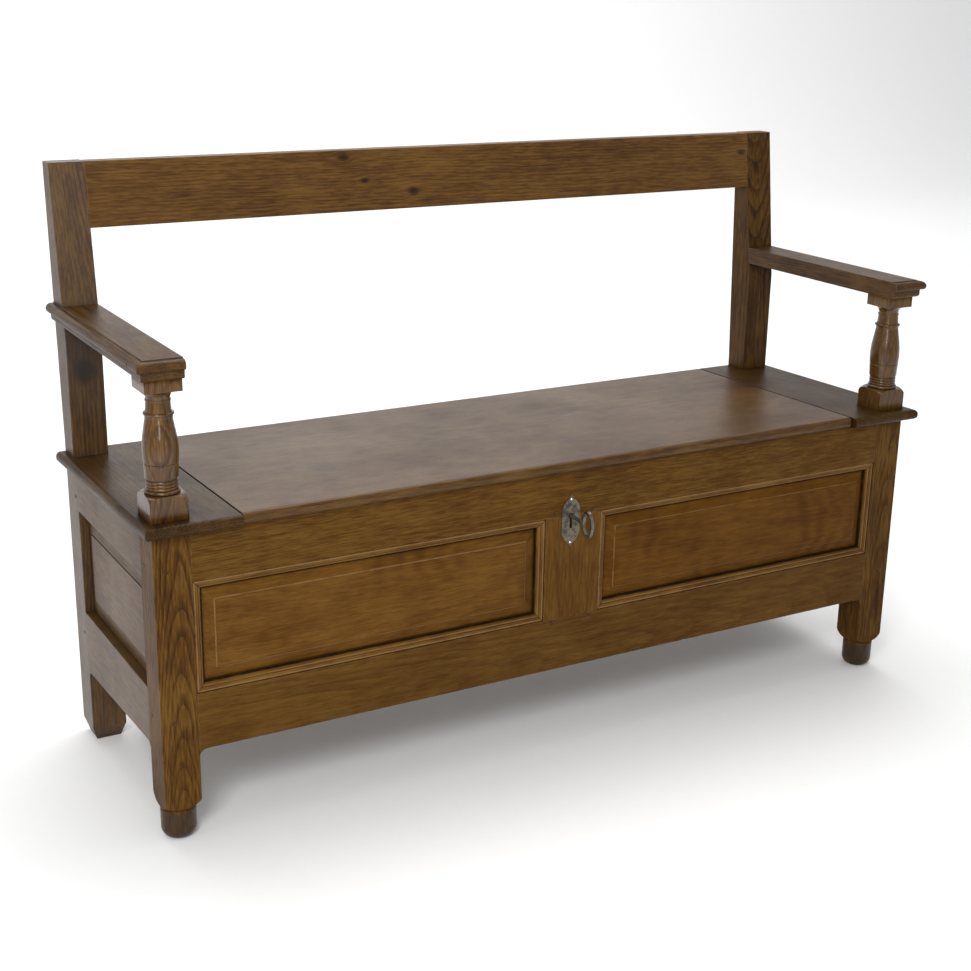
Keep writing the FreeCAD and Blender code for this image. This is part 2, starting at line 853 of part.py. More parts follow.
def add_long_tenons(rail, frame, level):
    """Tenons at both ends of a front or back rail, bored for their pegs."""
    back = FRAMES[frame][1]
    low, height = LEVELS[level]
    size = (S.tenon_length, S.tenon_thick, height)
    rail.block("left_tenon", (-INNER - S.tenon_length, back, low), size)
    rail.block("right_tenon", (INNER, back, low), size)
    for side in SIDES:
        rail.peg_hole(f"{side}_peg_hole", FRAME_PEGS[frame][level], side)


def add_muntin_mortise(rail, frame, level):
    """Mortise for the muntin's tenon in the middle of a rail's inner edge."""
    length = S.muntin_tenon_length + S.mortise_gap
    low = PANEL_TOP if level == "top" else S.panel_bottom - length
    size = (2 * MUNTIN_TENON_HALF, S.tenon_thick, length)
    rail.mortise("muntin_mortise", (-MUNTIN_TENON_HALF, FRAMES[frame][1], low), size)
    for side in SIDES:
        rail.peg_hole(f"{side}_muntin_peg_hole", MUNTIN_PEGS[frame][level], side)


def add_keyhole(piece, low, thick):
    """Round hole with a slot below it, in a piece drawn from the key's axis."""
    piece.hole("keyhole", (0, low, 0), (0, 1, 0), S.keyhole_radius, thick)
    start = (-S.keyhole_slot / 2, low, -S.keyhole_drop)
    piece.mortise("key_slot", start, (S.keyhole_slot, thick, S.keyhole_drop))


def top_rail(frame):
    face, _, groove = FRAMES[frame]
    rail = Piece(f"{frame}_top_rail")
    end = face + S.rail_thick
    section = [(face, PANEL_TOP), (end, PANEL_TOP), (end, seat_under(end)), (face, seat_under(face))]
    rail.pad("rail", "YZ", -INNER, 2 * INNER, section)
    size = (2 * INNER, S.groove_width, S.groove_depth)
    rail.mortise("panel_groove", (-INNER, groove, PANEL_TOP), size)
    add_long_tenons(rail, frame, "top")
    add_muntin_mortise(rail, frame, "top")
    if frame == "front":
        place = (S.key_offset, 0, PANEL_TOP)
        rail.hole("keyhole", place, (0, 1, 0), S.keyhole_radius, S.rail_thick)
        nail = (S.key_offset, 0, PANEL_TOP + PLATE_MIDDLE + S.nail_spacing / 2)
        rail.hole("nail_hole", nail, (0, 1, 0), S.nail_radius, S.nail_length)


def bottom_rail(frame):
    face, _, groove = FRAMES[frame]
    rail = Piece(f"{frame}_bottom_rail")
    outline = rectangle(-INNER, INNER, S.rail_bottom, S.panel_bottom)
    if frame == "front":
        outline = bracketed(-INNER, INNER, S.rail_bottom, S.rail_bottom)
    rail.pad("rail", "XZ", face, S.rail_thick, outline)
    size = (2 * INNER, S.groove_width, S.groove_depth)
    rail.mortise("panel_groove", (-INNER, groove, GROOVE_LOW), size)
    add_long_tenons(rail, frame, "bottom")
    add_muntin_mortise(rail, frame, "bottom")
    start = S.rail_thick - S.bearer_housing if frame == "front" else face
    for name, middle in BEARERS.items():
        place = (middle - S.bearer_width / 2, start, BEARER_FOOT)
        size = (S.bearer_width, S.bearer_housing, S.bearer_height)
        rail.mortise(f"{name}_bearer_housing", place, size)


def bracketed(start, end, start_low, end_low):
    """Bottom rail's outline, coved down to the leg at both ends."""
    return [
        (start, start_low - S.bracket_drop, -S.bracket_hollow),
        (start + S.bracket_reach, start_low),
        (end - S.bracket_reach, end_low, -S.bracket_hollow),
        (end, end_low - S.bracket_drop),
        (end, S.panel_bottom),
        (start, S.panel_bottom),
    ]


def muntin(frame):
    face, tenon, groove = FRAMES[frame]
    post = Piece(f"{frame}_muntin")
    height = PANEL_TOP - S.panel_bottom
    post.block("muntin", (-MUNTIN_HALF, face, S.panel_bottom), (S.muntin_width, S.rail_thick, height))
    length = S.muntin_tenon_length
    for level, low in (("top", PANEL_TOP), ("bottom", S.panel_bottom - length)):
        size = (2 * MUNTIN_TENON_HALF, S.tenon_thick, length)
        post.block(f"{level}_tenon", (-MUNTIN_TENON_HALF, tenon, low), size)
        for side in SIDES:
            post.peg_hole(f"{level}_{side}_peg_hole", MUNTIN_PEGS[frame][level], side)
    for side, start in ((LEFT, -MUNTIN_HALF), (RIGHT, MUNTIN_HALF - S.groove_depth)):
        size = (S.groove_depth, S.groove_width, height)
        post.mortise(f"{side}_groove", (start, groove, S.panel_bottom), size)
    if frame == "front":
        post.hole("keyhole", KEY_AT, (0, 1, 0), S.keyhole_radius, S.rail_thick)
        start = (S.key_offset - S.keyhole_slot / 2, 0, PANEL_TOP - S.keyhole_drop)
        post.mortise("key_slot", start, (S.keyhole_slot, S.rail_thick, S.keyhole_drop))
        nail = (S.key_offset, 0, PANEL_TOP + PLATE_MIDDLE - S.nail_spacing / 2)
        post.hole("nail_hole", nail, (0, 1, 0), S.nail_radius, S.nail_length)


def raise_field(panel, plane, opening, face, margin, rise):
    """Bevel stepped up from a flat margin that rises to a stepped field, towards a lower place."""
    first = inset(*opening, margin)
    second = inset(*opening, margin + S.bevel_width)
    foot = face - S.bevel_step
    top = foot - rise
    panel.pad("border", plane, foot, S.bevel_step, first)
    panel.loft("bevel", plane, (foot, first), (top, second))
    panel.pad("field", plane, top - S.field_step, S.field_step, second)


def panel(frame, side):
    board = Piece(f"{frame}_panel", side)
    opening = (POST, MUNTIN_FACE, S.panel_bottom, PANEL_TOP)
    face = FRAMES[frame][2] + S.tongue_play
    board.pad("board", "XZ", face, TONGUE_THICK, inset(*opening, -TONGUE))
    if frame == "front":
        margin = S.moulding_width + S.panel_margin
        raise_field(board, "XZ", opening, face, margin, S.bevel_rise)


def front_moulding(side):
    """Ovolo planted round an opening, mitred at the corners."""
    ring = Piece("front_moulding", side)
    opening = (POST, MUNTIN_FACE, S.panel_bottom, PANEL_TOP)
    inner = inset(*opening, S.moulding_width)
    thick = S.groove_set - S.moulding_sink
    ring.pad("ring", "XZ", S.moulding_sink, thick, rectangle(*opening), inner)
    lines = [("X", inner[0][0]), ("X", inner[1][0]), ("Z", inner[0][1]), ("Z", inner[2][1])]

    def inner_front(edge):
        at_front = ring.lies_at(edge, "Y", S.moulding_sink)
        return at_front and any(ring.lies_at(edge, axis, size) for axis, size in lines)

    ring.fillet("ovolo", S.moulding_round, inner_front)


# End frames


def add_end_tenons(rail, level):
    low, height = LEVELS[level]
    size = (S.tenon_thick, END_TENON, height)
    rail.block("front_tenon", (S.tenon_set, POST - END_TENON, low), size)
    rail.block("rear_tenon", (S.tenon_set, REAR_FRAME, low), size)
    for end in END_PEG_PLACES:
        rail.peg_hole(f"{end}_peg_hole", END_PEGS[level][end])


def end_top_rail(side):
    rail = Piece("end_top_rail", side)
    section = [
        (POST, PANEL_TOP),
        (REAR_FRAME, PANEL_TOP),
        (REAR_FRAME, seat_under(REAR_FRAME)),
        (POST, seat_under(POST)),
    ]
    rail.pad("rail", "YZ", 0, S.rail_thick, section)
    size = (S.groove_width, REAR_FRAME - POST, S.groove_depth)
    rail.mortise("panel_groove", (S.end_groove_set, POST, PANEL_TOP), size)
    add_end_tenons(rail, "top")


def end_bottom_rail(side):
    rail = Piece("end_bottom_rail", side)
    outline = bracketed(POST, REAR_FRAME, S.rail_bottom, S.rail_bottom - S.end_rail_fall)
    rail.pad("rail", "YZ", 0, S.rail_thick, outline)
    size = (S.groove_width, REAR_FRAME - POST, S.groove_depth)
    rail.mortise("panel_groove", (S.end_groove_set, POST, GROOVE_LOW), size)
    add_end_tenons(rail, "bottom")


def end_panel(side):
    board = Piece("end_panel", side)
    opening = (POST, REAR_FRAME, S.panel_bottom, PANEL_TOP)
    face = S.end_groove_set + S.tongue_play
    board.pad("board", "YZ", face, TONGUE_THICK, inset(*opening, -TONGUE))
    raise_field(board, "YZ", opening, face, S.end_panel_margin, S.end_bevel_rise)


# Floor of the chest


def floor_bearer(name, middle):
    bearer = Piece(f"floor_bearer_{name}")
    start = S.rail_thick - S.bearer_housing
    size = (S.bearer_width, S.depth - 2 * start, S.bearer_height)
    bearer.block("bearer", (middle - S.bearer_width / 2, start, BEARER_FOOT), size)


def floor_boards():
    start = S.rail_thick + S.floor_play
    room = S.depth - 2 * start
    width = (room - 2 * S.floor_gap) / 3
    half = HALF - S.rail_thick - S.floor_play
    notch_half = INNER - S.floor_play
    notch_end = POST + S.floor_play
    for index, name in enumerate(("front", "middle", "back")):
        board = Piece(f"floor_board_{name}")
        low = start + (width + S.floor_gap) * index
        board.block("board", (-half, low, BOARDS_HEIGHT), (2 * half, width, S.floor_thick))
        if name == "middle":
            continue
        notch = low if name == "front" else S.depth - notch_end
        size = (half - notch_half, notch_end - start, S.floor_thick)
        board.mortise("left_notch", (-half, notch, BOARDS_HEIGHT), size)
        board.mortise("right_notch", (notch_half, notch, BOARDS_HEIGHT), size)


# Seat


def seat_section(start):
    return [
        (start, seat_under(start)),
        (S.depth, seat_under(S.depth)),
        (S.depth, seat_top(S.depth)),
        (start, seat_top(start)),
    ]


def seat_end_board(side):
    board = Piece("seat_end_board", side)
    width = S.side_overhang + S.end_board_width
    board.pad("board", "YZ", -S.side_overhang, width, seat_section(-S.front_overhang))

    def front_or_outer(edge):
        outer = board.lies_at(edge, "X", -S.side_overhang) and edge.Length > POST.value
        return outer or board.lies_at(edge, "Y", -S.front_overhang) and edge.Length > POST.value

    board.fillet("nose", S.nose_round, front_or_outer)
    low = seat_under(S.depth) - S.board_thick
    size = (POST + 2 * S.post_play, POST + 2 * S.post_play, 3 * S.board_thick)
    board.mortise("front_post_hole", (-S.post_play, -S.post_play, low), size)
    board.mortise("rear_post_notch", (-S.post_play, BACK_POST_FRONT - S.post_play, low), size)


def seat_lid():
    lid = Piece("seat_lid")
    lid.pad("board", "YZ", -LID_HALF, 2 * LID_HALF, seat_section(-S.lid_overhang))

    def front(edge):
        return lid.lies_at(edge, "Y", -S.lid_overhang) and edge.Length > POST.value

    lid.fillet("nose", S.nose_round, front)


def lid_batten(side):
    middle = S.end_board_width + S.lid_gap + S.batten_inset
    batten = Piece("lid_batten", side)
    start = S.rail_thick + S.batten_margin
    end = S.depth - start
    section = under_seat(start, end, S.batten_thick)
    batten.pad("batten", "YZ", middle - S.batten_width / 2, S.batten_width, section)

    def lower_end(edge):
        ends = batten.lies_at(edge, "Y", start) or batten.lies_at(edge, "Y", end)
        along = abs(edge.BoundBox.XLength - S.batten_width.value) < 0.01
        return ends and along and edge.BoundBox.ZMax < seat_under(end).value - 1

    batten.chamfer("ends", S.batten_chamfer, lower_end)


# Arms and crest


def arm(side):
    piece = Piece("arm", side)
    front = -S.arm_front
    nose_front = front - S.arm_nose
    nose = rectangle(NOSE_OUT, POST, nose_front, ARM_REAR)
    piece.pad("nose", "XY", NOSE_UNDER, S.nose_thick, nose)

    def nose_edge(height):
        def chosen(edge):
            outside = piece.lies_at(edge, "X", NOSE_OUT) or piece.lies_at(edge, "Y", nose_front)
            return outside and piece.lies_at(edge, "Z", height)

        return chosen

    piece.fillet("nose_top", S.nose_top_round, nose_edge(NOSE_TOP))
    piece.fillet("nose_low", S.nose_low_round, nose_edge(NOSE_UNDER))
    body = rectangle(-S.arm_overhang, POST, front, ARM_REAR)
    piece.pad("body", "XY", ARM_UNDER, S.nose_low, body)

    def low_edge(edge):
        outside = piece.lies_at(edge, "X", -S.arm_overhang) or piece.lies_at(edge, "Y", front)
        return outside and piece.lies_at(edge, "Z", ARM_UNDER)

    piece.fillet("body_low", S.arm_low_round, low_edge)
    step = S.arm_field_inset
    field = rectangle(step - S.arm_overhang, POST, front + step, ARM_REAR)
    piece.pad("field", "XY", NOSE_TOP, S.arm_top - NOSE_TOP, field)
    clear = S.board_thick
    low, high = ARM_UNDER - clear, S.arm_top + clear
    beside_post = [
        (post_front(low), low),
        (ARM_REAR + clear, low),
        (ARM_REAR + clear, high),
        (post_front(high), high),
    ]
    piece.pocket("post_seat", "YZ", -S.post_play, POST + 2 * S.post_play, beside_post)
    start = ((POST - S.arm_tenon_thick) / 2, BACK_POST_FRONT - clear, ARM_TENON_LOW)
    size = (S.arm_tenon_thick, S.arm_tenon_length + clear, S.arm_tenon_height)
    piece.block("tenon", start, size)
    radius = S.arm_pin_radius + S.pin_play
    depth = S.arm_pin_length + S.mortise_gap
    piece.hole("pin_hole", (HALF_POST, HALF_POST, ARM_UNDER), (0, 0, 1), radius, depth)
    piece.peg_hole("peg_hole", ARM_PEG)


def crest_rail():
    rail = Piece("crest_rail")
    section = crest_section(0, S.crest_thick, CREST_UNDER, S.total_height)
    rail.pad("rail", "YZ", -INNER, 2 * INNER, section)

    def long_edge(edge):
        return edge.Length > INNER.value and edge.BoundBox.XLength > INNER.value

    rail.fillet("arrises", S.crest_round, long_edge)
    length = S.crest_tenon_length
    rail.pad("left_tenon", "YZ", -INNER - length, length, crest_tenon_section())
    rail.pad("right_tenon", "YZ", INNER, length, crest_tenon_section())
    for side in SIDES:
        rail.peg_hole(f"{side}_peg_hole", CREST_PEG, side)


# Hinges


def hinge_place():
    return (HALF - LID_HALF + S.hinge_inset, HINGE_AXIS, seat_under(S.depth))


def hinge_fixed_leaf(side):
    leaf = Piece("hinge_fixed_leaf", side, hinge_place())
    half = S.hinge_length / 2
    clear = S.knuckle_radius + S.knuckle_gap
    face = -S.knuckle_radius - S.knuckle_play
    size = (S.hinge_length, S.leaf_thick, S.fixed_leaf_length - clear)
    leaf.block("plate", (-half, face, -S.fixed_leaf_length), size)
    width = half - S.knuckle_length / 2 - S.knuckle_gap
    for name, start in (("first", -half), ("second", half - width)):
        leaf.block(f"{name}_strap", (start, face, -clear), (width, S.leaf_thick, clear))
        leaf.rod(f"{name}_knuckle", (start, 0, 0), (1, 0, 0), S.knuckle_radius, width)
    radius = S.hinge_pin_radius + S.hinge_pin_play
    leaf.hole("pin_hole", (-half, 0, 0), (1, 0, 0), radius, S.hinge_length)


def hinge_lid_leaf(side):
    leaf = Piece("hinge_lid_leaf", side, hinge_place())
    half = S.hinge_length / 2
    clear = S.knuckle_radius + S.knuckle_gap
    face = -S.knuckle_radius - S.knuckle_play
    size = (S.hinge_length, S.leaf_thick, S.lid_leaf_length - clear)
    leaf.block("plate", (-half, face, clear), size)
    start = -S.knuckle_length / 2
    leaf.block("strap", (start, face, 0), (S.knuckle_length, S.leaf_thick, clear))
    leaf.rod("knuckle", (start, 0, 0), (1, 0, 0), S.knuckle_radius, S.knuckle_length)
    radius = S.hinge_pin_radius + S.hinge_pin_play
    leaf.hole("pin_hole", (start, 0, 0), (1, 0, 0), radius, S.knuckle_length)


def hinge_pin(side):
    pin = Piece("hinge_pin", side, hinge_place())
    start = (-S.hinge_length / 2, 0, 0)
    pin.rod("pin", start, (1, 0, 0), S.hinge_pin_radius, S.hinge_length)


# Escutcheon, key and lock, drawn from the key's axis


def escutcheon():
    plate = Piece("escutcheon", None, KEY_AT)
    middle = PLATE_MIDDLE
    tip = S.plate_height / 2
    neck = S.plate_neck_height / 2
    flat = S.plate_side_height / 2
    narrow = S.plate_neck / 2
    wide = S.plate_width / 2
    outline = [
        (0, middle - tip, -S.plate_tip_hollow),
        (narrow, middle - neck, S.plate_shoulder_bulge),
        (wide, middle - flat),
        (wide, middle + flat, S.plate_shoulder_bulge),
        (narrow, middle + neck, -S.plate_tip_hollow),
        (0, middle + tip, -S.plate_tip_hollow),
        (-narrow, middle + neck, S.plate_shoulder_bulge),
        (-wide, middle + flat),
        (-wide, middle - flat, S.plate_shoulder_bulge),
        (-narrow, middle - neck, -S.plate_tip_hollow),
    ]
    plate.pad("plate", "XZ", -S.plate_thick, S.plate_thick, outline)
    add_keyhole(plate, -S.plate_thick, S.plate_thick)
    for name, sign in (("upper", 1), ("lower", -1)):
        place = (0, -S.plate_thick, middle + S.nail_spacing / 2 * sign)
        plate.hole(f"{name}_nail_hole", place, (0, 1, 0), S.nail_radius, S.plate_thick)


def key():
    piece = Piece("key", None, KEY_AT)
    bow_rear = -S.collar_gap - S.collar_length
    middle = bow_rear - S.bow_half_width
    outer = oval(middle, 0, S.bow_half_width, S.bow_half_height)
    inner = oval(middle, 0, S.bow_half_width - S.bow_bar, S.bow_half_height - S.bow_bar)
    piece.pad("bow", "YZ", -S.bow_thick / 2, S.bow_thick, outer, inner)
    collar = bow_rear - S.bow_bar / 2
    length = S.collar_length + S.bow_bar / 2
    piece.rod("collar", (0, collar, 0), (0, 1, 0), S.collar_radius, length)
    reach = S.collar_gap + S.rail_thick + S.case_depth
    piece.rod("shank", (0, -S.collar_gap, 0), (0, 1, 0), S.shank_radius, reach)
    start = (-S.bit_thick / 2, S.rail_thick + S.bit_set, -S.bit_length)
    piece.block("bit", start, (S.bit_thick, S.bit_width, S.bit_length))


def lock_case():
    """Dished case on the inside of the front frame, open towards the rail and the muntin."""
    case = Piece("lock_case", None, KEY_AT)
    wall = S.case_wall
    width = S.case_left + S.case_right
    height = S.case_rise + S.case_drop
    case.block("shell", (-S.case_left, S.rail_thick, -S.case_drop), (width, S.case_depth, height))
    hollow = (width - 2 * wall, S.case_depth - wall, height - 2 * wall)
    case.mortise("hollow", (wall - S.case_left, S.rail_thick, wall - S.case_drop), hollow)
    back = S.rail_thick + S.case_depth - wall
    guide_start = BOLT_FRONT - S.bolt_play
    size = (S.guide_width, back - guide_start, S.guide_height)
    left = -S.guide_set - S.guide_width
    half_bolt = S.bolt_height / 2 + S.bolt_play
    case.block("lower_guide", (left, guide_start, S.bolt_rise - half_bolt - S.guide_height), size)
    case.block("upper_guide", (left, guide_start, S.bolt_rise + half_bolt), size)
    play = S.staple_slot_play
    slot = (
        S.staple_offset - S.staple_thick / 2 - play,
        STAPLE_MIDDLE - S.staple_width / 2 - play,
        S.case_rise - wall,
    )
    case.mortise("staple_slot", slot, (S.staple_thick + 2 * play, S.staple_width + 2 * play, wall))
    radius = S.shank_radius + S.shank_play
    case.hole("key_bearing", (0, back, 0), (0, 1, 0), radius, wall)


def lock_bolt():
    bolt = Piece("lock_bolt", None, KEY_AT)
    half = S.bolt_height / 2
    length = S.bolt_tail + S.bolt_tip
    low = S.bolt_rise - half
    bolt.block("bar", (-S.bolt_tail, BOLT_FRONT, low), (length, S.bolt_thick, S.bolt_height))
    size = (S.bolt_foot_width, S.bolt_thick, low + S.bolt_foot_drop)
    bolt.block("foot", (S.bolt_foot_set, BOLT_FRONT, -S.bolt_foot_drop), size)


def lid_staple():
    """Plate under the lid with an eye that hangs into the lock's case."""
    staple = Piece("lid_staple", None, (S.key_offset + S.staple_offset, 0, 0))
    start = S.rail_thick + S.staple_plate_gap
    section = under_seat(start, start + S.staple_plate_width, S.staple_plate_thick)
    half = S.staple_plate_length / 2
    staple.pad("plate", "YZ", -half, S.staple_plate_length, section)
    bolt_middle = PANEL_TOP + S.bolt_rise
    eye_low = bolt_middle - S.staple_eye_height / 2
    foot = eye_low - S.staple_eye_foot
    front = STAPLE_MIDDLE - S.staple_width / 2
    back = STAPLE_MIDDLE + S.staple_width / 2
    top = seat_under(back) - S.staple_plate_thick / 2
    eye_front = STAPLE_MIDDLE - S.staple_eye_width / 2
    eye_back = STAPLE_MIDDLE + S.staple_eye_width / 2
    loop = rectangle(front, back, foot, top)
    eye = rectangle(eye_front, eye_back, eye_low, eye_low + S.staple_eye_height)
    staple.pad("eye", "YZ", -S.staple_thick / 2, S.staple_thick, loop, eye)


# Groups of like fasteners


def cylinder(name, at, axis, radius, length):
    """Round pin of a group, placed in the bench's frame."""
    pin = doc.addObject("Part::Cylinder", name)
    bind(pin, "Radius", radius)
    bind(pin, "Height", length)
    pin.Placement = FreeCAD.Placement(Vector(0, 0, 0), Rotation(Vector(0, 0, 1), Vector(*axis)))
    bind_place(pin, "Placement", at)
    return pin


def group(label, pins):
    joined = doc.addObject("Part::MultiFuse", label)
    joined.Label = label
    joined.Shapes = pins
    joined.Refine = False
    groups.append(joined)


def joint_pegs():
    all_pegs = [peg for pegs in FRAME_PEGS.values() for peg in pegs.values()]
    all_pegs += [peg for pegs in END_PEGS.values() for peg in pegs.values()]
    all_pegs += [peg for pegs in MUNTIN_PEGS.values() for peg in pegs.values()]
    all_pegs += [CREST_PEG, ARM_PEG]
    pins = []
    for side in SIDES:
        for number, peg in enumerate(all_pegs, start=1):
            axis = peg.axis if side == LEFT else (-peg.axis[0], peg.axis[1], peg.axis[2])
            place = bench_place(side, peg.at)
            pins.append(cylinder(f"{side}_peg_{number}", place, axis, S.peg_radius, peg.length))
    group("joint_pegs", pins)


def escutcheon_nails():
    pins = []
    for name, sign in (("upper", 1), ("lower", -1)):
        height = PANEL_TOP + PLATE_MIDDLE + S.nail_spacing / 2 * sign
        face = FRONT - S.plate_thick
        place = (S.key_offset, face, height)
        length = S.nail_length + S.plate_thick
        shank = cylinder(f"{name}_shank", place, (0, 1, 0), S.nail_radius, length)
        head = doc.addObject("Part::Cone", f"{name}_head")
        bind(head, "Radius1", S.nail_head_radius)
        bind(head, "Radius2", S.nail_tip_radius)
        bind(head, "Height", S.nail_head_height)
        turn = Rotation(Vector(0, 0, 1), Vector(0, -1, 0))
        head.Placement = FreeCAD.Placement(Vector(0, 0, 0), turn)
        bind_place(head, "Placement", place)
        pins += [shank, head]
    group("escutcheon_nails", pins)


groups = []
for side in SIDES:
    front_post(side)
    rear_post(side)
    end_top_rail(side)
    end_bottom_rail(side)
    end_panel(side)
    front_moulding(side)
    seat_end_board(side)
    lid_batten(side)
    arm(side)
    hinge_fixed_leaf(side)
    hinge_lid_leaf(side)
    hinge_pin(side)
    for frame in FRAMES:
        panel(frame, side)
for frame in FRAMES:
    top_rail(frame)
    bottom_rail(frame)
    muntin(frame)
for name, middle in BEARERS.items():
    floor_bearer(name, middle)
floor_boards()
seat_lid()
crest_rail()
escutcheon()
key()
lock_case()
lock_bolt()
lid_staple()
joint_pegs()
escutcheon_nails()
doc.recompute()

for item in doc.Objects:
    if "Invalid" in item.State or "Error" in item.State:
        raise RuntimeError(f"{item.Label} failed to build")
    base = getattr(item, "BaseFeature", None)
    cuts = ("Subtractive", "Pocket", "Groove", "Fillet", "Chamfer")
    if base and any(kind in item.TypeId for kind in cuts) and item.Shape.Volume >= base.Shape.Volume:
        raise RuntimeError(f"{item.Label} takes nothing away")

os.makedirs("parts", exist_ok=True)
for item in Piece.made + groups:
    if item.Shape.isNull() or not item.Shape.isValid():
        raise RuntimeError(f"{item.Label} has no sound solid")
    item.Shape.exportStep(os.path.join("parts", f"{item.Label}.step"))
print(f"{len(Piece.made) + len(groups)} sub-parts written")
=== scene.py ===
import math
from types import SimpleNamespace

import bmesh
import bpy
from mathutils import Matrix, Vector


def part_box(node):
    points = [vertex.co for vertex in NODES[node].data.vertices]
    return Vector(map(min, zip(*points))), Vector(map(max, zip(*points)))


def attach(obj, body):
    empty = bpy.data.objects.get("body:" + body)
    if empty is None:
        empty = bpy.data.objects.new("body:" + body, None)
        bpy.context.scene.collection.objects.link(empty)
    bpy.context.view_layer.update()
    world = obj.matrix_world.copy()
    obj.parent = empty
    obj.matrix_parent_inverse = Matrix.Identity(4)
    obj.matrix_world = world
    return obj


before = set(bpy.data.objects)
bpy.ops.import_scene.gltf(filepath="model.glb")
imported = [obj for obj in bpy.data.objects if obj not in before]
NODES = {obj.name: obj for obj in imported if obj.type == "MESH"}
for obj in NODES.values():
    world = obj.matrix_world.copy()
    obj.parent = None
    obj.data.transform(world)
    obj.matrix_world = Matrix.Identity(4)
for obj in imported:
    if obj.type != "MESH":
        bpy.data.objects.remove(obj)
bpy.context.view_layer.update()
LEFT, RIGHT = "left", "right"


# Finishes, built up node by node

class Flow:
    """A number, colour or direction that runs between the nodes of a finish."""

    def __init__(self, finish, socket):
        self.finish = finish
        self.socket = socket

    def maths(self, operation, *others):
        return self.finish.maths(operation, self, *others)

    def __add__(self, other):
        return self.maths("ADD", other)

    def __sub__(self, other):
        return self.maths("SUBTRACT", other)

    def __rsub__(self, other):
        return self.finish.maths("SUBTRACT", other, self)

    def __mul__(self, other):
        return self.maths("MULTIPLY", other)

    def __truediv__(self, other):
        return self.maths("DIVIDE", other)

    def __rtruediv__(self, other):
        return self.finish.maths("DIVIDE", other, self)

    __radd__ = __add__
    __rmul__ = __mul__


class Finish:
    """The material of one piece."""

    def __init__(self, name):
        self.material = bpy.data.materials.new(name)
        self.material.use_nodes = True
        self.tree = self.material.node_tree
        self.tree.nodes.clear()
        self.place = self.node("ShaderNodeTexCoord", out="Object")

    def node(self, kind, settings=None, values=None, out=0):
        """Add any node: its settings first, then what its sockets hold or are linked to."""
        made = self.tree.nodes.new(kind)
        for key, setting in (settings or {}).items():
            setattr(made, key, setting)
        for key, value in (values or {}).items():
            socket = made.inputs[key]
            if isinstance(value, Flow):
                self.tree.links.new(value.socket, socket)
            elif isinstance(value, tuple) and socket.type == "RGBA":
                socket.default_value = (*value, 1)
            else:
                socket.default_value = value
        return None if out is None else Flow(self, made.outputs[out])

    def maths(self, operation, *inputs):
        return self.node("ShaderNodeMath", {"operation": operation}, dict(enumerate(inputs)))

    def vectors(self, operation, *inputs):
        settings = {"operation": operation}
        return self.node("ShaderNodeVectorMath", settings, dict(enumerate(inputs)), out="Value")

    def split(self, vector):
        made = self.node("ShaderNodeSeparateXYZ", values={0: vector}).socket.node
        return [Flow(self, socket) for socket in made.outputs]

    def point(self, *sizes):
        return self.node("ShaderNodeCombineXYZ", values=dict(enumerate(sizes)))

    def noise(self, point, scale=1.0, detail=2.0, roughness=0.5):
        values = {"Vector": point, "Scale": scale, "Detail": detail, "Roughness": roughness}
        return self.node("ShaderNodeTexNoise", values=values)

    def between(self, value, low, high, start=0.0, end=1.0):
        """A smooth step from start, where the value is low, to end, where it is high."""
        values = {0: value, 1: low, 2: high, 3: start, 4: end}
        return self.node("ShaderNodeMapRange", {"interpolation_type": "SMOOTHSTEP"}, values)

    def blend(self, factor, first, second, kind="MIX"):
        settings = {"data_type": "RGBA", "blend_type": kind}
        return self.node("ShaderNodeMix", settings, {0: factor, 6: first, 7: second}, out=2)

    def worn_normal(self, radius):
        """The surface's direction with its arrises rounded over."""
        return self.node("ShaderNodeBevel", {"samples": 4}, {"Radius": radius})

    def arris(self, rounded):
        """How far the rounded direction turns from the true one, which it does at an arris."""
        true = self.node("ShaderNodeNewGeometry", out="Normal")
        return 1 - self.vectors("DOT_PRODUCT", rounded, true)

    def openness(self, distance):
        values = {"Distance": distance}
        return self.node("ShaderNodeAmbientOcclusion", {"samples": 6}, values, out="AO")

    def bump(self, height, strength, distance, normal):
        values = {"Strength": strength, "Distance": distance, "Height": height, "Normal": normal}
        return self.node("ShaderNodeBump", values=values)

    def surface(self, links, fixed):
        """The shader itself: links for what varies, and fixed numbers on its own sockets."""
        shader = self.node("ShaderNodeBsdfPrincipled", values={**links, **fixed})
        self.node("ShaderNodeOutputMaterial", values={"Surface": shader}, out=None)
        return self.material


def swing(noise):
    """A noise about zero instead of about a half."""
    return noise - 0.5


# Oak: its colours, from old dark growth to wood rubbed bare

DARK = (0.020, 0.0085, 0.0018)
WARM = (0.088, 0.0365, 0.0056)
PALE = (0.165, 0.082, 0.0150)
# The darkest colour paints dirt, stains, knot eyes and a dark foot, and also painted shade in corners, in
# quirks and under the arm.
GRIME_AND_SHADE = (0.008, 0.0042, 0.0016)
# The rubbed colour paints arrises worn bare, and also painted highlights along arrises and mouldings.
RUBBED_AND_HIGHLIGHT = (0.300, 0.180, 0.080)

# Layers of the grain: waves per metre across it and along it, then the noise's detail and roughness

SWAY = (4, 1.7, 3.0, 0.5)
WAVER = (26, 9, 2.0, 0.5)
PATCH = (9, 2.2, 3.0, 0.5)
STREAK = (150, 6, 5.0, 0.62)
DASH = (380, 34, 3.0, 0.6)
FINE = (760, 40, 3.0, 0.6)
PORE = (1300, 60, 2.0, 0.5)
MOTTLE = (34, 15, 3.0, 0.6)
CHIP = (120, 55, 3.0, 0.7)

# Noises that are even all ways

CLOUD = {"scale": 6.5, "detail": 4.0, "roughness": 0.55}
SCUFF = {"scale": 46.0, "detail": 4.0, "roughness": 0.7}

# Ripple: its drift in waves per metre across the grain and along it, its own waves, and their sway

RIPPLE_ACROSS, RIPPLE_ALONG, RIPPLE_WAVES, RIPPLE_DRIFT = 14, 3, 170, 18

# Where a smooth step starts and ends, and its levels there if they aren't 0 and 1

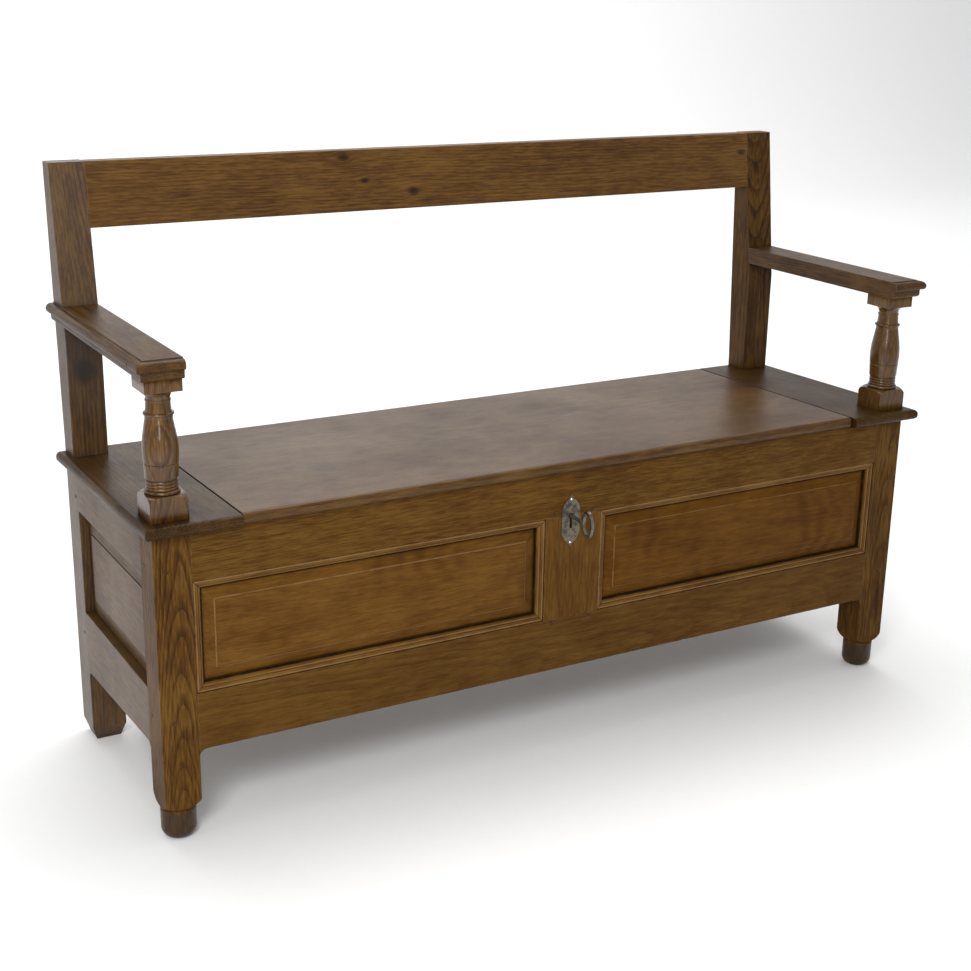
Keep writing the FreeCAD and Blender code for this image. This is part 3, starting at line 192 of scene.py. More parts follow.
RING_FADE, RING_START = (0.0, 0.62), (0.0, 0.06)
PATCH_STEP, PATCH_LEVELS = (0.3, 0.75), (0.35, 1.0)
PORE_STEP, RIPPLE_STEP = (0.56, 0.68), (0.45, 0.7)
ARRIS_STEP, HANDLED_STEP, OPEN_STEP = (0.03, 0.30), (0.40, 0.60), (0.15, 0.85)
CHIP_STEP, CHIP_HOLLOW = (0.52, 0.66), (0.50, 0.62)
PALE_TO_WARM, WARM_TO_DARK = (0.05, 0.55), (0.4, 1.0)
EYE_STEP, EYE_LEVELS = (0.2, 0.75), (0.75, 1.0)
LINE_STEP, LINE_LEVELS = (0.30, 0.55), (0.45, 1.0)

# How strongly a mask paints its colour

# The quirk mask paints shade, with some dirt; the rub mask paints wear and a highlight.
PORE_PAINT, EYE_PAINT, CHIP_PAINT, RUB_AND_HIGHLIGHT_PAINT, QUIRK_SHADE_PAINT = 0.6, 0.92, 0.7, 0.75, 0.68
MITRE_PAINT, FOOT_PAINT = 0.85, 0.62

# How much each layer tells in the figure, before a piece's own shares

VEIN_SHARE, STREAK_SHARE, DASH_SHARE, FINE_SHARE = 0.42, 0.95, 0.85, 0.8
CLOUD_SHARE, MOTTLE_SHARE, RIPPLE_SHARE, FIGURE_LEVEL = 0.7, 0.55, 0.07, 0.33
RING_PORES, PLAIN_PORES = 0.7, 0.3

# How much each layer tells in the roughness, in the relief and in the wax

CLOUD_ROUGH, FINE_ROUGH, PORE_ROUGH, SHUT_ROUGH = 0.22, 0.16, 0.2, 0.25
RUB_SMOOTH, POLISH_SMOOTH = 0.12, 0.08
FINE_RISE, SCUFF_RISE, DASH_RISE = 0.5, 0.6, 0.5
PORE_SINK, VEIN_SINK, CHIP_SINK = 0.9, 0.35, 1.6
BUMP_STRENGTH, RUB_WAX, FOOT_WAX = 0.5, 0.30, 0.8

# Distances in metres

SWAY_REACH, WAVER_REACH, WAVER_BEND = 0.03, 0.0036, 0.006
# The quirk distance is how far the painted shade of shut-in corners reaches.
ARRIS_RADIUS, QUIRK_DISTANCE, RELIEF_DEPTH = 0.0024, 0.022, 0.00038
MITRE_LINE = (0.0003, 0.0011)
POLISH_FADE = 0.012
FOOT_BELOW, FOOT_ABOVE = 0.004, 0.003
LEAST_DISTANCE = 0.0004

SEED_STEP = 5.3
KNOT_STRETCH, KNOT_PUSH = 0.55, 0.75
LINE_CORE = 0.4                 # a line's full middle, as a share of its half width
KNOT_CORE = (0.3, 1.25)         # a knot's full and faded radius, as shares of its radius
STAIN_AND_SHADOW_CORE = (0.35, 1.1)        # the same for a dark patch, stains and painted shadows alike
STAIN_AND_SHADOW_MOTTLE, STAIN_AND_SHADOW_DASH = 1.6, 0.8
PLAIN_ROUGHNESS, LEAST_ROUGHNESS, COAT_ROUGHNESS = 0.40, 0.16, 0.19

# What a piece of oak may set for itself

PLAIN_LOOK = {
    "seed": 0.0,                # moves the piece along its log, so that no two share their grain
    "tone": 0.8,                # how light the wood is
    "tint": (1.0, 1.0, 1.0),    # its leaning towards red, green or blue
    "rings": 1.0,               # strength of the growth rings
    "streaks": 1.0,             # strength of the long streaks
    "grain": 1.0,               # strength of the short dashes and the fine grain
    "blotch": 1.0,              # strength of the clouds and mottling
    "ripple": 0.0,              # strength of the ripple across the grain
    "spacing": 0.0042,          # from one growth ring to the next
    "lean": (0.008, 0.03),      # how the heart leans, per metre of the run
    "rub": 1.0,                 # how far the arrises are rubbed bare and painted lighter as a highlight
    "gloss": 0.0,               # taken off the roughness
    "shine": 0.1,               # level of the mirror reflection
    "polish": None,             # lowest and highest level of a polished stretch, and its strength
    "foot": 0.0,                # height to which the foot is dark from the floor
    "knots": (),                # place across the grain, place along it, radius
    "marks": (),                # place, radius and strength of each dark patch, stains and painted shadows alike
    "framed": None,             # middle and half size of the face that the lines run round
    "lines": (),                # distance inside the face's edge, half width, strength and colour
    "mitred": False,            # whether the grain turns at the corners
}


class OakFinish(Finish):
    """Waxed oak. The heart is the log's middle, beside the piece and across its run of grain."""

    def __init__(self, name, run, heart, look):
        super().__init__(name)
        self.look = SimpleNamespace(**{**PLAIN_LOOK, **look})
        self.x, self.y, self.z = self.split(self.place)
        self.over, self.through, self.along = {"X": (self.z, self.y, self.x),
                                               "Y": (self.z, self.x, self.y),
                                               "Z": (self.x, self.y, self.z)}[run]
        self.drawn = []
        if self.look.framed:
            self.draw_shade_and_highlight_lines({"X": self.x, "Y": self.y}[run])
        self.spread_round_knots()
        self.grow_rings(heart)
        self.lay_grain()
        self.wear_down()
        self.make_surface(self.colour())

    def layer(self, kind, over=None, shift=None):
        """A noise drawn out along the grain."""
        across, ahead, detail, roughness = kind
        over = self.over if over is None else over
        run = self.along * ahead
        run = run if shift is None else run + shift
        point = self.point(over * across, self.through * across, run)
        return self.noise(point, detail=detail, roughness=roughness)

    def draw_shade_and_highlight_lines(self, wide):
        """Dark lines of painted shade and light lines of painted highlight round the face, with some dirt
        and wear, and a dark mitre line where the grain turns.
        """
        middle_wide, middle_z, half_wide, half_z = self.look.framed
        past_wide = (wide - middle_wide).maths("ABSOLUTE") - half_wide
        past_z = (self.z - middle_z).maths("ABSOLUTE") - half_z
        inset = past_wide.maths("MAXIMUM", past_z) * -1
        for depth, width, strength, paint in self.look.lines:
            off = (inset - depth).maths("ABSOLUTE")
            self.drawn.append((self.between(off, width * LINE_CORE, width, strength, 0.0), paint))
        if self.look.mitred:
            upright = (past_wide - past_z).maths("GREATER_THAN", 0.0)
            self.over = self.z + (self.x - self.z) * upright
            self.along = self.x + (self.z - self.x) * upright
            off = (past_wide - past_z).maths("ABSOLUTE")
            self.drawn.append((self.between(off, *MITRE_LINE, MITRE_PAINT, 0.0), GRIME_AND_SHADE))

    def spread_round_knots(self):
        """Push the grain apart round each knot, and keep where the knots' cores are."""
        self.core = None
        for side, way, radius in self.look.knots:
            out, off = self.over - side, (self.along - way) * KNOT_STRETCH
            far = (out * out + off * off).maths("SQRT") + LEAST_DISTANCE
            hold = radius / far
            push = (hold * hold).maths("MINIMUM", 1.0)
            self.over = self.over - out * push * KNOT_PUSH
            near, faded = KNOT_CORE
            spot = self.between(far, radius * near, radius * faded, 1.0, 0.0)
            self.core = spot if self.core is None else self.core.maths("MAXIMUM", spot)

    def grow_rings(self, heart):
        """Growth rings about the heart: dark lines that start sharply and fade outwards."""
        lean_side, lean_deep = self.look.lean
        side = self.over - heart[0] - self.along * lean_side
        deep = self.through - heart[1] - self.along * lean_deep
        self.along = self.along + self.look.seed * SEED_STEP
        sway = self.layer(SWAY, shift=self.look.seed)
        self.waver = self.layer(WAVER)
        reach = (side * side + deep * deep).maths("SQRT") + sway * SWAY_REACH + self.waver * WAVER_REACH
        ring = (reach / self.look.spacing).maths("FRACT")
        vein = self.between(ring, *RING_FADE, 1.0, 0.0) * self.between(ring, *RING_START)
        self.vein = vein * self.between(self.layer(PATCH), *PATCH_STEP, *PATCH_LEVELS) * self.look.rings

    def lay_grain(self):
        bent = self.over + swing(self.waver) * WAVER_BEND
        self.streak = self.layer(STREAK, over=bent)
        self.dash = self.layer(DASH, over=bent)
        self.fine = self.layer(FINE)
        self.pore = self.between(self.layer(PORE), *PORE_STEP) * (self.vein * RING_PORES + PLAIN_PORES)
        self.cloud = self.noise(self.place, **CLOUD)
        self.mottle = self.layer(MOTTLE)

    def wear_down(self):
        """Rounded arrises, rubbed bare and painted lighter as a highlight, or chipped, where they stand
        open; and shut-in corners, which are painted in shade.
        """
        self.rounded = self.worn_normal(ARRIS_RADIUS)
        self.edge = self.between(self.arris(self.rounded), *ARRIS_STEP)
        self.scuff = self.noise(self.place, **SCUFF)
        self.chip = self.layer(CHIP)
        # How shut in the surface is, from ambient occlusion; the colour paints it as shade, with some
        # dirt.
        self.shut = 1 - self.between(self.openness(QUIRK_DISTANCE), *OPEN_STEP)
        handled = self.between(self.scuff, *HANDLED_STEP)
        # Arrises rubbed bare, which the colour also paints as a highlight.
        self.rubbed_and_highlit = self.edge * handled * (1 - self.shut) * self.look.rub

    def figure(self):
        """How dark the wood is by its growth alone."""
        look = self.look
        figure = self.vein * VEIN_SHARE + swing(self.streak) * STREAK_SHARE * look.streaks
        figure = figure + swing(self.dash) * DASH_SHARE * look.grain + FIGURE_LEVEL
        figure = figure + swing(self.fine) * FINE_SHARE * look.grain
        if look.ripple:
            spot = self.point(self.over * RIPPLE_ACROSS, 0.0, self.along * RIPPLE_ALONG)
            phase = self.along * RIPPLE_WAVES + self.noise(spot) * RIPPLE_DRIFT
            shown = self.between(self.cloud, *RIPPLE_STEP)
            figure = figure + phase.maths("SINE") * shown * RIPPLE_SHARE * look.ripple
        figure = figure + swing(self.cloud) * CLOUD_SHARE * look.blotch
        return figure + swing(self.mottle) * MOTTLE_SHARE * look.blotch

    def colour(self):
        figure = self.figure()
        colour = self.blend(self.between(figure, *PALE_TO_WARM), PALE, WARM)
        colour = self.blend(self.between(figure, *WARM_TO_DARK), colour, DARK)
        colour = self.blend(self.pore * PORE_PAINT, colour, DARK)
        if self.core is not None:
            eye = self.core * self.between(self.streak, *EYE_STEP, *EYE_LEVELS)
            colour = self.blend(eye * EYE_PAINT, colour, GRIME_AND_SHADE)
        # Dark patches: real stains, and on the left rear post also a painted shadow of the arm.
        for place, radius, strength in self.look.marks:
            far = self.vectors("DISTANCE", self.place, place)
            far = far + swing(self.mottle) * radius * STAIN_AND_SHADOW_MOTTLE
            far = far + swing(self.dash) * radius * STAIN_AND_SHADOW_DASH
            near, faded = STAIN_AND_SHADOW_CORE
            darkened = self.between(far, radius * near, radius * faded, strength, 0.0)
            colour = self.blend(darkened, colour, GRIME_AND_SHADE)
        chipped = self.edge * self.between(self.chip, *CHIP_STEP)
        colour = self.blend(chipped * CHIP_PAINT, colour, DARK)
        # Lighter arrises: rubbed bare, and painted as a highlight.
        colour = self.blend(self.rubbed_and_highlit.maths("MINIMUM", 1.0) * RUB_AND_HIGHLIGHT_PAINT, colour, RUBBED_AND_HIGHLIGHT)
        # Painted shade, with some dirt, where nearby surfaces shut the surface in: corners, quirks, under
        # overhangs and between parts.
        colour = self.blend(self.shut * QUIRK_SHADE_PAINT, colour, GRIME_AND_SHADE)
        # Dark lines of painted shade and light lines of painted highlight round framed faces, with some
        # dirt and wear; the mitre line is the dark joint.
        for line, paint in self.drawn:
            broken = self.between(self.scuff, *LINE_STEP, *LINE_LEVELS)
            colour = self.blend(line * broken, colour, paint)
        stain = tuple(self.look.tone * share for share in self.look.tint)
        return self.blend(1.0, colour, stain, "MULTIPLY")

    def relief(self):
        """The height of the surface, as shares of the relief's depth."""
        relief = swing(self.fine) * FINE_RISE - self.pore * PORE_SINK - self.vein * VEIN_SINK
        relief = relief + swing(self.scuff) * SCUFF_RISE + swing(self.dash) * DASH_RISE
        return relief - self.edge * self.between(self.chip, *CHIP_HOLLOW) * CHIP_SINK

    def make_surface(self, colour):
        """Wax stays on rubbed arrises, on the polished stretch and on a dark foot."""
        worn = PLAIN_ROUGHNESS - self.look.gloss + swing(self.cloud) * CLOUD_ROUGH
        worn = worn + swing(self.fine) * FINE_ROUGH + self.pore * PORE_ROUGH - self.rubbed_and_highlit * RUB_SMOOTH
        wax = self.rubbed_and_highlit.maths("MINIMUM", 1.0) * RUB_WAX
        if self.look.polish:
            low, high, strength = self.look.polish
            handled = self.between(self.z, low, low + POLISH_FADE)
            handled = handled * self.between(self.z, high - POLISH_FADE, high, 1.0, 0.0)
            wax = wax + handled * strength
            worn = worn - handled * POLISH_SMOOTH
        if self.look.foot:
            top = self.look.foot
            sooty = self.between(self.z, top - FOOT_BELOW, top + FOOT_ABOVE, FOOT_PAINT, 0.0)
            colour = self.blend(sooty, colour, GRIME_AND_SHADE)
            wax = wax + sooty * FOOT_WAX
        roughness = (worn + self.shut * SHUT_ROUGH).maths("MAXIMUM", LEAST_ROUGHNESS)
        normal = self.bump(self.relief(), BUMP_STRENGTH, RELIEF_DEPTH, self.rounded)
        links = {"Base Color": colour, "Roughness": roughness, "Coat Weight": wax, "Normal": normal}
        fixed = {"Specular IOR Level": self.look.shine, "Coat Roughness": COAT_ROUGHNESS}
        self.surface(links, fixed)


# Metal

# Near black: painted shade in the metal's shut-in corners.
SOOT_AND_SHADE = (0.01, 0.009, 0.008)
HAMMERED = {"scale": 130.0, "detail": 5.0, "roughness": 0.6}
PITTED = {"scale": 900.0, "detail": 4.0, "roughness": 0.6}
METAL_ARRIS, METAL_QUIRK, METAL_RELIEF = 0.0008, 0.004, 0.0003
METAL_OPEN = (0.3, 0.95)
CRUST_BELOW, CRUST_ABOVE = 0.1, 0.12


def metal(name, base, crust, level, rough):
    """Hand-worked metal, with a crust of age where its noise and its shut-in corners pass the level, and
    painted shade in those corners.
    """
    plate = Finish(name)
    broad = plate.noise(plate.place, **HAMMERED)
    fine = plate.noise(plate.place, **PITTED)
    rounded = plate.worn_normal(METAL_ARRIS)
    edge = plate.between(plate.arris(rounded), *ARRIS_STEP)
    shut = 1 - plate.between(plate.openness(METAL_QUIRK), *METAL_OPEN)
    aged = plate.between(broad + swing(fine) * 0.5 + shut * 0.4, level - CRUST_BELOW, level + CRUST_ABOVE)
    aged = aged * (1 - edge * 0.7)
    # Painted shade in the shut-in corners, over the crust.
    colour = plate.blend(shut * 0.6, plate.blend(aged, base, crust), SOOT_AND_SHADE)
    roughness = aged * 0.35 + rough + swing(fine) * 0.2
    normal = plate.bump(broad * 0.6 + fine * 0.4, BUMP_STRENGTH, METAL_RELIEF, rounded)
    links = {"Base Color": colour, "Metallic": 1 - aged, "Roughness": roughness, "Normal": normal}
    return plate.surface(links, {"Specular IOR Level": 0.5})


# Oak on each piece

def dress(node, material):
    for holder in NODES[node].material_slots:
        holder.material = material


def face_of(node):
    """A piece's middle and half size."""
    low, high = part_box(node)
    return (low + high) / 2, (high - low) / 2


def outline_of(node, run):
    """Middle and half size of a piece's face, for the lines that run round it."""
    middle, half = face_of(node)
    wide = "XY".index(run)
    return middle[wide], middle.z, half[wide], half.z


ACROSS = {"X": (2, 1), "Y": (2, 0), "Z": (0, 1)}


def oak_piece(node, run, heart, **look):
    """Finish a piece whose log's heart lies off its middle by the two given distances."""
    middle, _ = face_of(node)
    first, second = ACROSS[run]
    place = (middle[first] + heart[0], middle[second] + heart[1])
    dress(node, OakFinish(f"{node}_oak", run, place, look).material)


# Posts. The arm supports are turned from just over the seat to the arm, and the wax lies on that stretch

TURNED_LOW, TURNED_HIGH, TURNED_WAX = 0.513, 0.716, 0.75
POST_LOOK = {"polish": (TURNED_LOW, TURNED_HIGH, TURNED_WAX), "foot": 0.046}
# A dark stain on the left rear post, and a larger painted shadow of the arm just above it.
POST_STAIN_AND_ARM_SHADOW = (((-0.674, 0.197, 0.640), 0.024, 0.85), ((-0.690, 0.197, 0.690), 0.050, 0.6))
oak_piece("front_post_left", "Z", (0.004, -0.003), seed=1.0, tone=0.80, rings=0.95, lean=(0.01, 0.06),
          spacing=0.0029, streaks=0.6, shine=0.065, **POST_LOOK)
oak_piece("front_post_right", "Z", (0.006, 0.004), seed=2.0, tone=0.66, rings=0.7, lean=(0.02, 0.04),
          spacing=0.0034, streaks=0.7, shine=0.05, **POST_LOOK)
oak_piece("rear_post_left", "Z", (0.05, 0.03), seed=3.0, tone=0.62, shine=0.5, rub=1.4,
          marks=POST_STAIN_AND_ARM_SHADOW)
oak_piece("rear_post_right", "Z", (-0.02, 0.09), seed=4.0, tone=0.56, shine=0.1, rub=1.3)

# Front rails and muntin

QUIET_FRONT = {"blotch": 0.6, "shine": 0.05}
oak_piece("front_top_rail", "X", (0.16, 0.10), seed=5.0, tone=0.76, rings=0.4, spacing=0.0034,
          streaks=0.4, **QUIET_FRONT)
oak_piece("front_bottom_rail", "X", (-0.03, 0.16), seed=6.0, tone=0.74, rings=0.3, streaks=0.35,
          grain=0.55, **QUIET_FRONT)
oak_piece("front_muntin", "Z", (0.12, 0.10), seed=7.0, tone=0.84, rings=0.2, streaks=0.35,
          grain=0.6, **QUIET_FRONT)

# Panels and mouldings: dark lines of painted shade in their quirks and light lines of painted highlight
# on their arrises, with some dirt and wear

# Each line: its distance inside the face's edge, half width, strength and colour; the dark ones are
# painted shade, the light ones painted highlight.
FIELD_SHADE_AND_HIGHLIGHT_LINES = ((0.0228, 0.0011, 0.55, GRIME_AND_SHADE), (0.0408, 0.0012, 0.60, RUBBED_AND_HIGHLIGHT),
               (0.0422, 0.0009, 0.3, GRIME_AND_SHADE))
MOULDING_SHADE_AND_HIGHLIGHT_LINES = ((0.0, 0.0011, 0.85, GRIME_AND_SHADE), (0.0026, 0.0013, 0.55, RUBBED_AND_HIGHLIGHT),
                  (0.0082, 0.0010, 0.5, GRIME_AND_SHADE), (0.0100, 0.0012, 0.35, RUBBED_AND_HIGHLIGHT),
                  (0.0138, 0.0010, 0.85, GRIME_AND_SHADE))
END_PANEL_SHADE_AND_HIGHLIGHT_LINES = ((0.0325, 0.0011, 0.8, GRIME_AND_SHADE), (0.0390, 0.0012, 0.85, GRIME_AND_SHADE),
                   (0.0408, 0.0010, 0.3, RUBBED_AND_HIGHLIGHT))
FIELD_LOOK = {"rings": 0.2, "streaks": 0.3, "grain": 0.5, "spacing": 0.006, "lines": FIELD_SHADE_AND_HIGHLIGHT_LINES}
oak_piece("front_panel_left", "X", (0.02, 0.22), seed=8.0, tone=0.90, tint=(1.0, 0.94, 0.82),
          blotch=0.75, ripple=1.1, shine=0.06, framed=outline_of("front_panel_left", "X"), **FIELD_LOOK)
oak_piece("front_panel_right", "X", (-0.05, 0.24), seed=9.0, tone=0.76, tint=(1.0, 0.87, 0.6),
          blotch=0.65, ripple=1.3, shine=0.05, framed=outline_of("front_panel_right", "X"), **FIELD_LOOK)

# Pieces that come in pairs

for side, seed in ((LEFT, 10.0), (RIGHT, 11.0)):
    oak_piece(f"front_moulding_{side}", "X", (0.1, 0.1), seed=seed, tone=0.90, rings=0.2, streaks=0.5,
              grain=0.7, shine=0.09, rub=1.8, framed=outline_of(f"front_moulding_{side}", "X"),
              mitred=True, lines=MOULDING_SHADE_AND_HIGHLIGHT_LINES)
    oak_piece(f"end_top_rail_{side}", "Y", (0.12, 0.1), seed=seed + 2, tone=0.58, rings=0.4,
              streaks=0.5, shine=0.27)
    oak_piece(f"end_bottom_rail_{side}", "Y", (-0.1, 0.12), seed=seed + 4, tone=0.60, rings=0.4,
              streaks=0.5, shine=0.27)
    oak_piece(f"end_panel_{side}", "Y", (0.05, 0.2), seed=seed + 6, tone=0.69, rings=0.3,
              streaks=0.4, grain=0.6, shine=0.28, framed=outline_of(f"end_panel_{side}", "Y"),
              lines=END_PANEL_SHADE_AND_HIGHLIGHT_LINES)
    oak_piece(f"seat_end_board_{side}", "Y", (-0.12, 0.06), seed=seed + 8, tone=0.38, gloss=0.04,
              shine=0.12, streaks=0.8)
    oak_piece(f"arm_{side}", "Y", (-0.09, 0.02), seed=seed + 10, tone=0.52, gloss=0.02, shine=0.2)
    oak_piece(f"lid_batten_{side}", "Y", (-0.1, 0.03), seed=seed + 12, tone=0.6)
    oak_piece(f"back_panel_{side}", "X", (0.02, -0.2), seed=seed + 14, tone=0.7)

# Lid and crest

LID_STAINS = (((-0.413, 0.154, 0.510), 0.009, 0.8), ((-0.400, 0.054, 0.510), 0.007, 0.7),
              ((-0.024, 0.137, 0.510), 0.010, 0.7), ((-0.043, -0.051, 0.510), 0.005, 0.95),
              ((0.284, -0.082, 0.510), 0.006, 0.8), ((-0.375, -0.045, 0.510), 0.030, 0.5),
              ((0.046, -0.070, 0.510), 0.020, 0.4))
CREST_KNOTS = ((0.8916, -0.080, 0.008), (0.913, -0.172, 0.005), (0.9530, -0.210, 0.008),
               (0.929, 0.634, 0.007))
oak_piece("seat_lid", "X", (-0.16, 0.05), seed=30.0, tone=0.62, rings=0.5, streaks=0.6, gloss=0.05,
          shine=0.24, marks=LID_STAINS)
oak_piece("crest_rail", "X", (-0.14, 0.09), seed=31.0, tone=0.84, tint=(1.0, 0.98, 1.0), rings=0.5,
          streaks=0.7, blotch=0.8, shine=0.19, knots=CREST_KNOTS)

# Back, pegs and floor

oak_piece("back_top_rail", "X", (0.1, -0.1), seed=32.0, tone=0.66)
oak_piece("back_bottom_rail", "X", (-0.1, -0.1), seed=33.0, tone=0.66)
oak_piece("back_muntin", "Z", (0.1, -0.1), seed=34.0, tone=0.66)
oak_piece("joint_pegs", "Y", (0.05, 0.05), seed=35.0, tone=0.5, spacing=0.003)
for number, part in enumerate((LEFT, "middle", RIGHT)):
    oak_piece(f"floor_bearer_{part}", "Y", (0.1, 0.04), seed=36.0 + number, tone=0.6)
for number, part in enumerate(("front", "middle", "back")):
    oak_piece(f"floor_board_{part}", "X", (0.12, 0.06), seed=40.0 + number, tone=0.7, rub=0.3)

# Plate, nails, key, lock and hinges

PEWTER = metal("pewter_plate", (0.165, 0.145, 0.105), (0.022, 0.018, 0.010), level=0.52, rough=0.30)
BRIGHT = metal("rubbed_nails", (0.520, 0.500, 0.450), (0.160, 0.140, 0.100), level=0.66, rough=0.22)
STEEL = metal("worn_key_steel", (0.200, 0.185, 0.150), (0.040, 0.032, 0.018), level=0.52, rough=0.32)
IRON = metal("dark_iron", (0.12, 0.11, 0.10), (0.05, 0.028, 0.016), level=0.52, rough=0.42)
dress("escutcheon", PEWTER)
dress("escutcheon_nails", BRIGHT)
dress("key", STEEL)
for node in ("lock_case", "lock_bolt", "lid_staple"):
    dress(node, IRON)
for side in (LEFT, RIGHT):
    for part in ("hinge_fixed_leaf", "hinge_lid_leaf", "hinge_pin"):
        dress(f"{part}_{side}", IRON)


# Hinge screws, which the solids leave out

LEAF_THICK = 0.002
PIN_DIGITS = 4                  # to a tenth of a millimetre, as a round pin's mesh is a little uneven
HEAD_SIDES = 24
HEAD_SECTION = ((1.0, 0.0), (0.94, 0.20), (0.72, 0.32), (0.38, 0.38))
SLOT_HALF, SLOT_DEPTH, SLOT_FACING = 0.13, 0.18, 0.3
SLOT_TURN, LID_TURN = 1.3, 0.7

# Body, head's radius, and each screw's place along the leaf and up from the hinge's pin

SCREW_ROWS = {"fixed": ("bench", 0.0032, ((-0.022, -0.027), (0.0, -0.014), (0.022, -0.027))),
              "lid": ("lid", 0.0026, ((-0.022, 0.0095), (0.0, 0.0098), (0.022, 0.0094)))}


def screw_head(radius):
    """A low domed head on its foot at the origin. The faces its slot is sunk from stay, and cover it."""
    head = bmesh.new()
    turns = [2 * math.pi * step / HEAD_SIDES for step in range(HEAD_SIDES)]
    rings = []
    for share, rise in HEAD_SECTION:
        out, up = radius * share, radius * rise
        rings.append([head.verts.new((out * math.cos(turn), out * math.sin(turn), up)) for turn in turns])
    for low, high in zip(rings, rings[1:]):
        for step in range(HEAD_SIDES):
            after = (step + 1) % HEAD_SIDES
            head.faces.new((low[step], low[after], high[after], high[step]))
    head.faces.new(rings[-1])
    head.faces.new(tuple(reversed(rings[0])))
    half = radius * SLOT_HALF
    for side in (-half, half):
        cut = head.verts[:] + head.edges[:] + head.faces[:]
        bmesh.ops.bisect_plane(head, geom=cut, plane_co=(side, 0, 0), plane_no=(1, 0, 0))
    slot = [face for face in head.faces
            if abs(face.calc_center_median().x) < half and face.normal.z > SLOT_FACING]
    sunk = bmesh.ops.extrude_face_region(head, geom=slot)["geom"]
    floor = [item for item in sunk if isinstance(item, bmesh.types.BMVert)]
    bmesh.ops.translate(head, vec=(0, 0, -radius * SLOT_DEPTH), verts=floor)
    bmesh.ops.recalc_face_normals(head, faces=head.faces[:])
    return head


def hinge_screws(row, side, turn):
    """The three screws of one leaf, each with its slot turned another way."""
    body, radius, places = SCREW_ROWS[row]
    pin, _ = face_of(f"hinge_pin_{side}")
    leaf_low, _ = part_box(f"hinge_fixed_leaf_{side}")
    leaf_face = leaf_low.y + LEAF_THICK
    hinge_line = round(pin.z, PIN_DIGITS)
    mesh = bpy.data.meshes.new(f"hinge_screws_{row}_{side}")
    whole = bmesh.new()
    for number, (along, up) in enumerate(places):
        head = screw_head(radius)
        place = Vector((pin.x + along, leaf_face, hinge_line + up))
        spin = Matrix.Rotation(turn + number * SLOT_TURN, 4, "Z")
        facing = Matrix.Rotation(-math.pi / 2, 4, "X") @ spin
        bmesh.ops.transform(head, matrix=Matrix.Translation(place) @ facing, verts=head.verts[:])
        single = bpy.data.meshes.new("screw_head")
        head.to_mesh(single)
        head.free()
        whole.from_mesh(single)
        bpy.data.meshes.remove(single)
    whole.to_mesh(mesh)
    whole.free()
    mesh.materials.append(STEEL)
    screws = bpy.data.objects.new(mesh.name, mesh)
    bpy.context.scene.collection.objects.link(screws)
    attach(screws, body)


for side, turn in ((LEFT, 0.3), (RIGHT, 1.1)):
    hinge_screws("fixed", side, turn)
    hinge_screws("lid", side, turn + LID_TURN)


# Floor, light and camera

FLOOR_FRONT, FLOOR_BACK, WALL_TOP = -9.0, 5.0, 9.0
FLOOR_SIDES = (-12.0, 14.0)
SWEEP_RADIUS, SWEEP_STEPS = 2.0, 16
AIR_STRENGTH = 0.58

YAW, PITCH, ROLL = math.radians(29.79), math.radians(17.96), math.radians(0.92)
CAMERA_PLACE = (-1.3362, -2.2391, 1.2522)
SENSOR_WIDTH = 36
FOCAL_PIXELS, PHOTO_PIXELS = 1580.6, 971
VIEW_DEPTH = 60


def floor_finish():
    floor = Finish("pale_floor")
    grain = floor.noise(floor.place, scale=60.0, detail=3.0)
    colour = floor.blend(grain * 0.5, (0.88, 0.88, 0.88), (0.84, 0.84, 0.84))
    rough = floor.between(grain, 0.2, 0.8, 0.75, 0.9)
    return floor.surface({"Base Color": colour, "Roughness": rough}, {"Specular IOR Level": 0.1})


def sweep_floor():
    """Pale floor that curves up behind into a wall, so that no horizon shows."""
    net = bmesh.new()
    section = [(FLOOR_FRONT, 0.0), (FLOOR_BACK, 0.0)]
    for step in range(1, SWEEP_STEPS + 1):
        turn = math.pi / 2 * step / SWEEP_STEPS
        rise = SWEEP_RADIUS * (1 - math.cos(turn))
        section.append((FLOOR_BACK + SWEEP_RADIUS * math.sin(turn), rise))
    section.append((FLOOR_BACK + SWEEP_RADIUS, WALL_TOP))
    rows = [[net.verts.new((x, y, z)) for y, z in section] for x in FLOOR_SIDES]
    for left, left_next, right, right_next in zip(rows[0], rows[0][1:], rows[1], rows[1][1:]):
        face = net.faces.new((left, right, right_next, left_next))
        face.smooth = True
    mesh = bpy.data.meshes.new("studio_floor")
    net.to_mesh(mesh)
    net.free()
    floor = bpy.data.objects.new("studio_floor", mesh)
    bpy.context.scene.collection.objects.link(floor)
    mesh.materials.append(floor_finish())


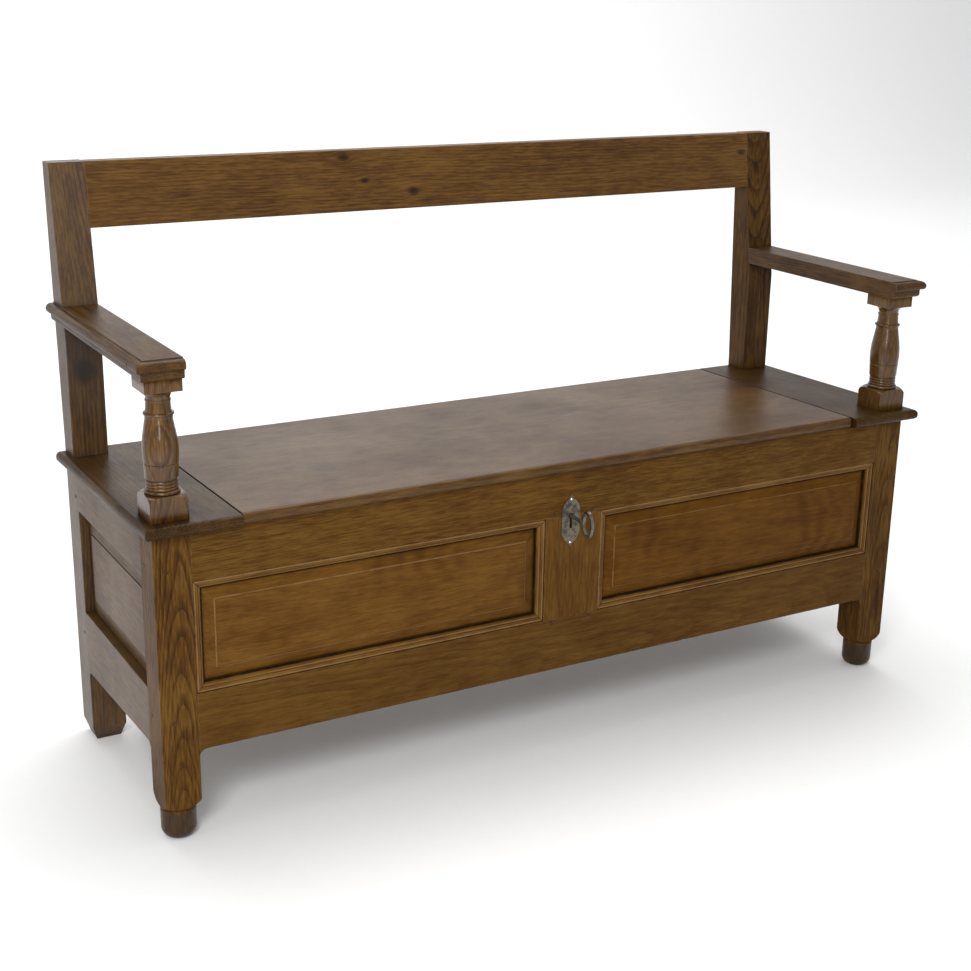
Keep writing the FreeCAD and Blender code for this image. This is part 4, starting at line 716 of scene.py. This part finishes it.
def soft_light(name, place, target, size, power):
    light = bpy.data.lights.new(name, "AREA")
    light.shape = "RECTANGLE"
    light.size, light.size_y = size
    light.energy = power
    holder = bpy.data.objects.new(name, light)
    bpy.context.scene.collection.objects.link(holder)
    holder.location = place
    holder.rotation_euler = (Vector(target) - Vector(place)).to_track_quat("-Z", "Y").to_euler()


def studio():
    sweep_floor()
    world = bpy.data.worlds.new("studio_air")
    world.use_nodes = True
    air = world.node_tree.nodes["Background"]
    air.inputs["Color"].default_value = (1, 1, 1, 1)
    air.inputs["Strength"].default_value = AIR_STRENGTH
    bpy.context.scene.world = world
    soft_light("key_softbox", (-2.0, -2.3, 2.25), (-0.3, 0, 0.5), size=(1.0, 0.9), power=56)
    soft_light("window_strip", (-1.66, -3.25, 1.45), (-0.68, -0.17, 0.6), size=(0.26, 1.5), power=20)
    soft_light("high_softbox", (0.4, 1.4, 4.0), (0, 0.8, 0), size=(4.0, 3.0), power=130)
    soft_light("wall_wash", (2.2, 3.4, 4.8), (3.2, 7.0, 2.0), size=(5.0, 1.6), power=170)


def camera():
    """The photograph's view, from a place in metres in the frame of the CAD."""
    level_ahead = math.cos(PITCH)
    ahead = Vector((math.sin(YAW) * level_ahead, math.cos(YAW) * level_ahead, -math.sin(PITCH)))
    level = Vector((math.cos(YAW), -math.sin(YAW), 0))
    rise = level.cross(ahead)
    right = level * math.cos(ROLL) + rise * math.sin(ROLL)
    up = rise * math.cos(ROLL) - level * math.sin(ROLL)
    lens = bpy.data.cameras.new("photo_view")
    lens.sensor_width = SENSOR_WIDTH
    lens.lens = SENSOR_WIDTH * FOCAL_PIXELS / PHOTO_PIXELS
    lens.clip_end = VIEW_DEPTH
    holder = bpy.data.objects.new("photo_view", lens)
    bpy.context.scene.collection.objects.link(holder)
    turn = Matrix((right, up, -ahead)).transposed().to_4x4()
    holder.matrix_world = Matrix.Translation(CAMERA_PLACE) @ turn
    bpy.context.scene.camera = holder


studio()
camera()
bpy.context.scene.view_settings.view_transform = "Standard"
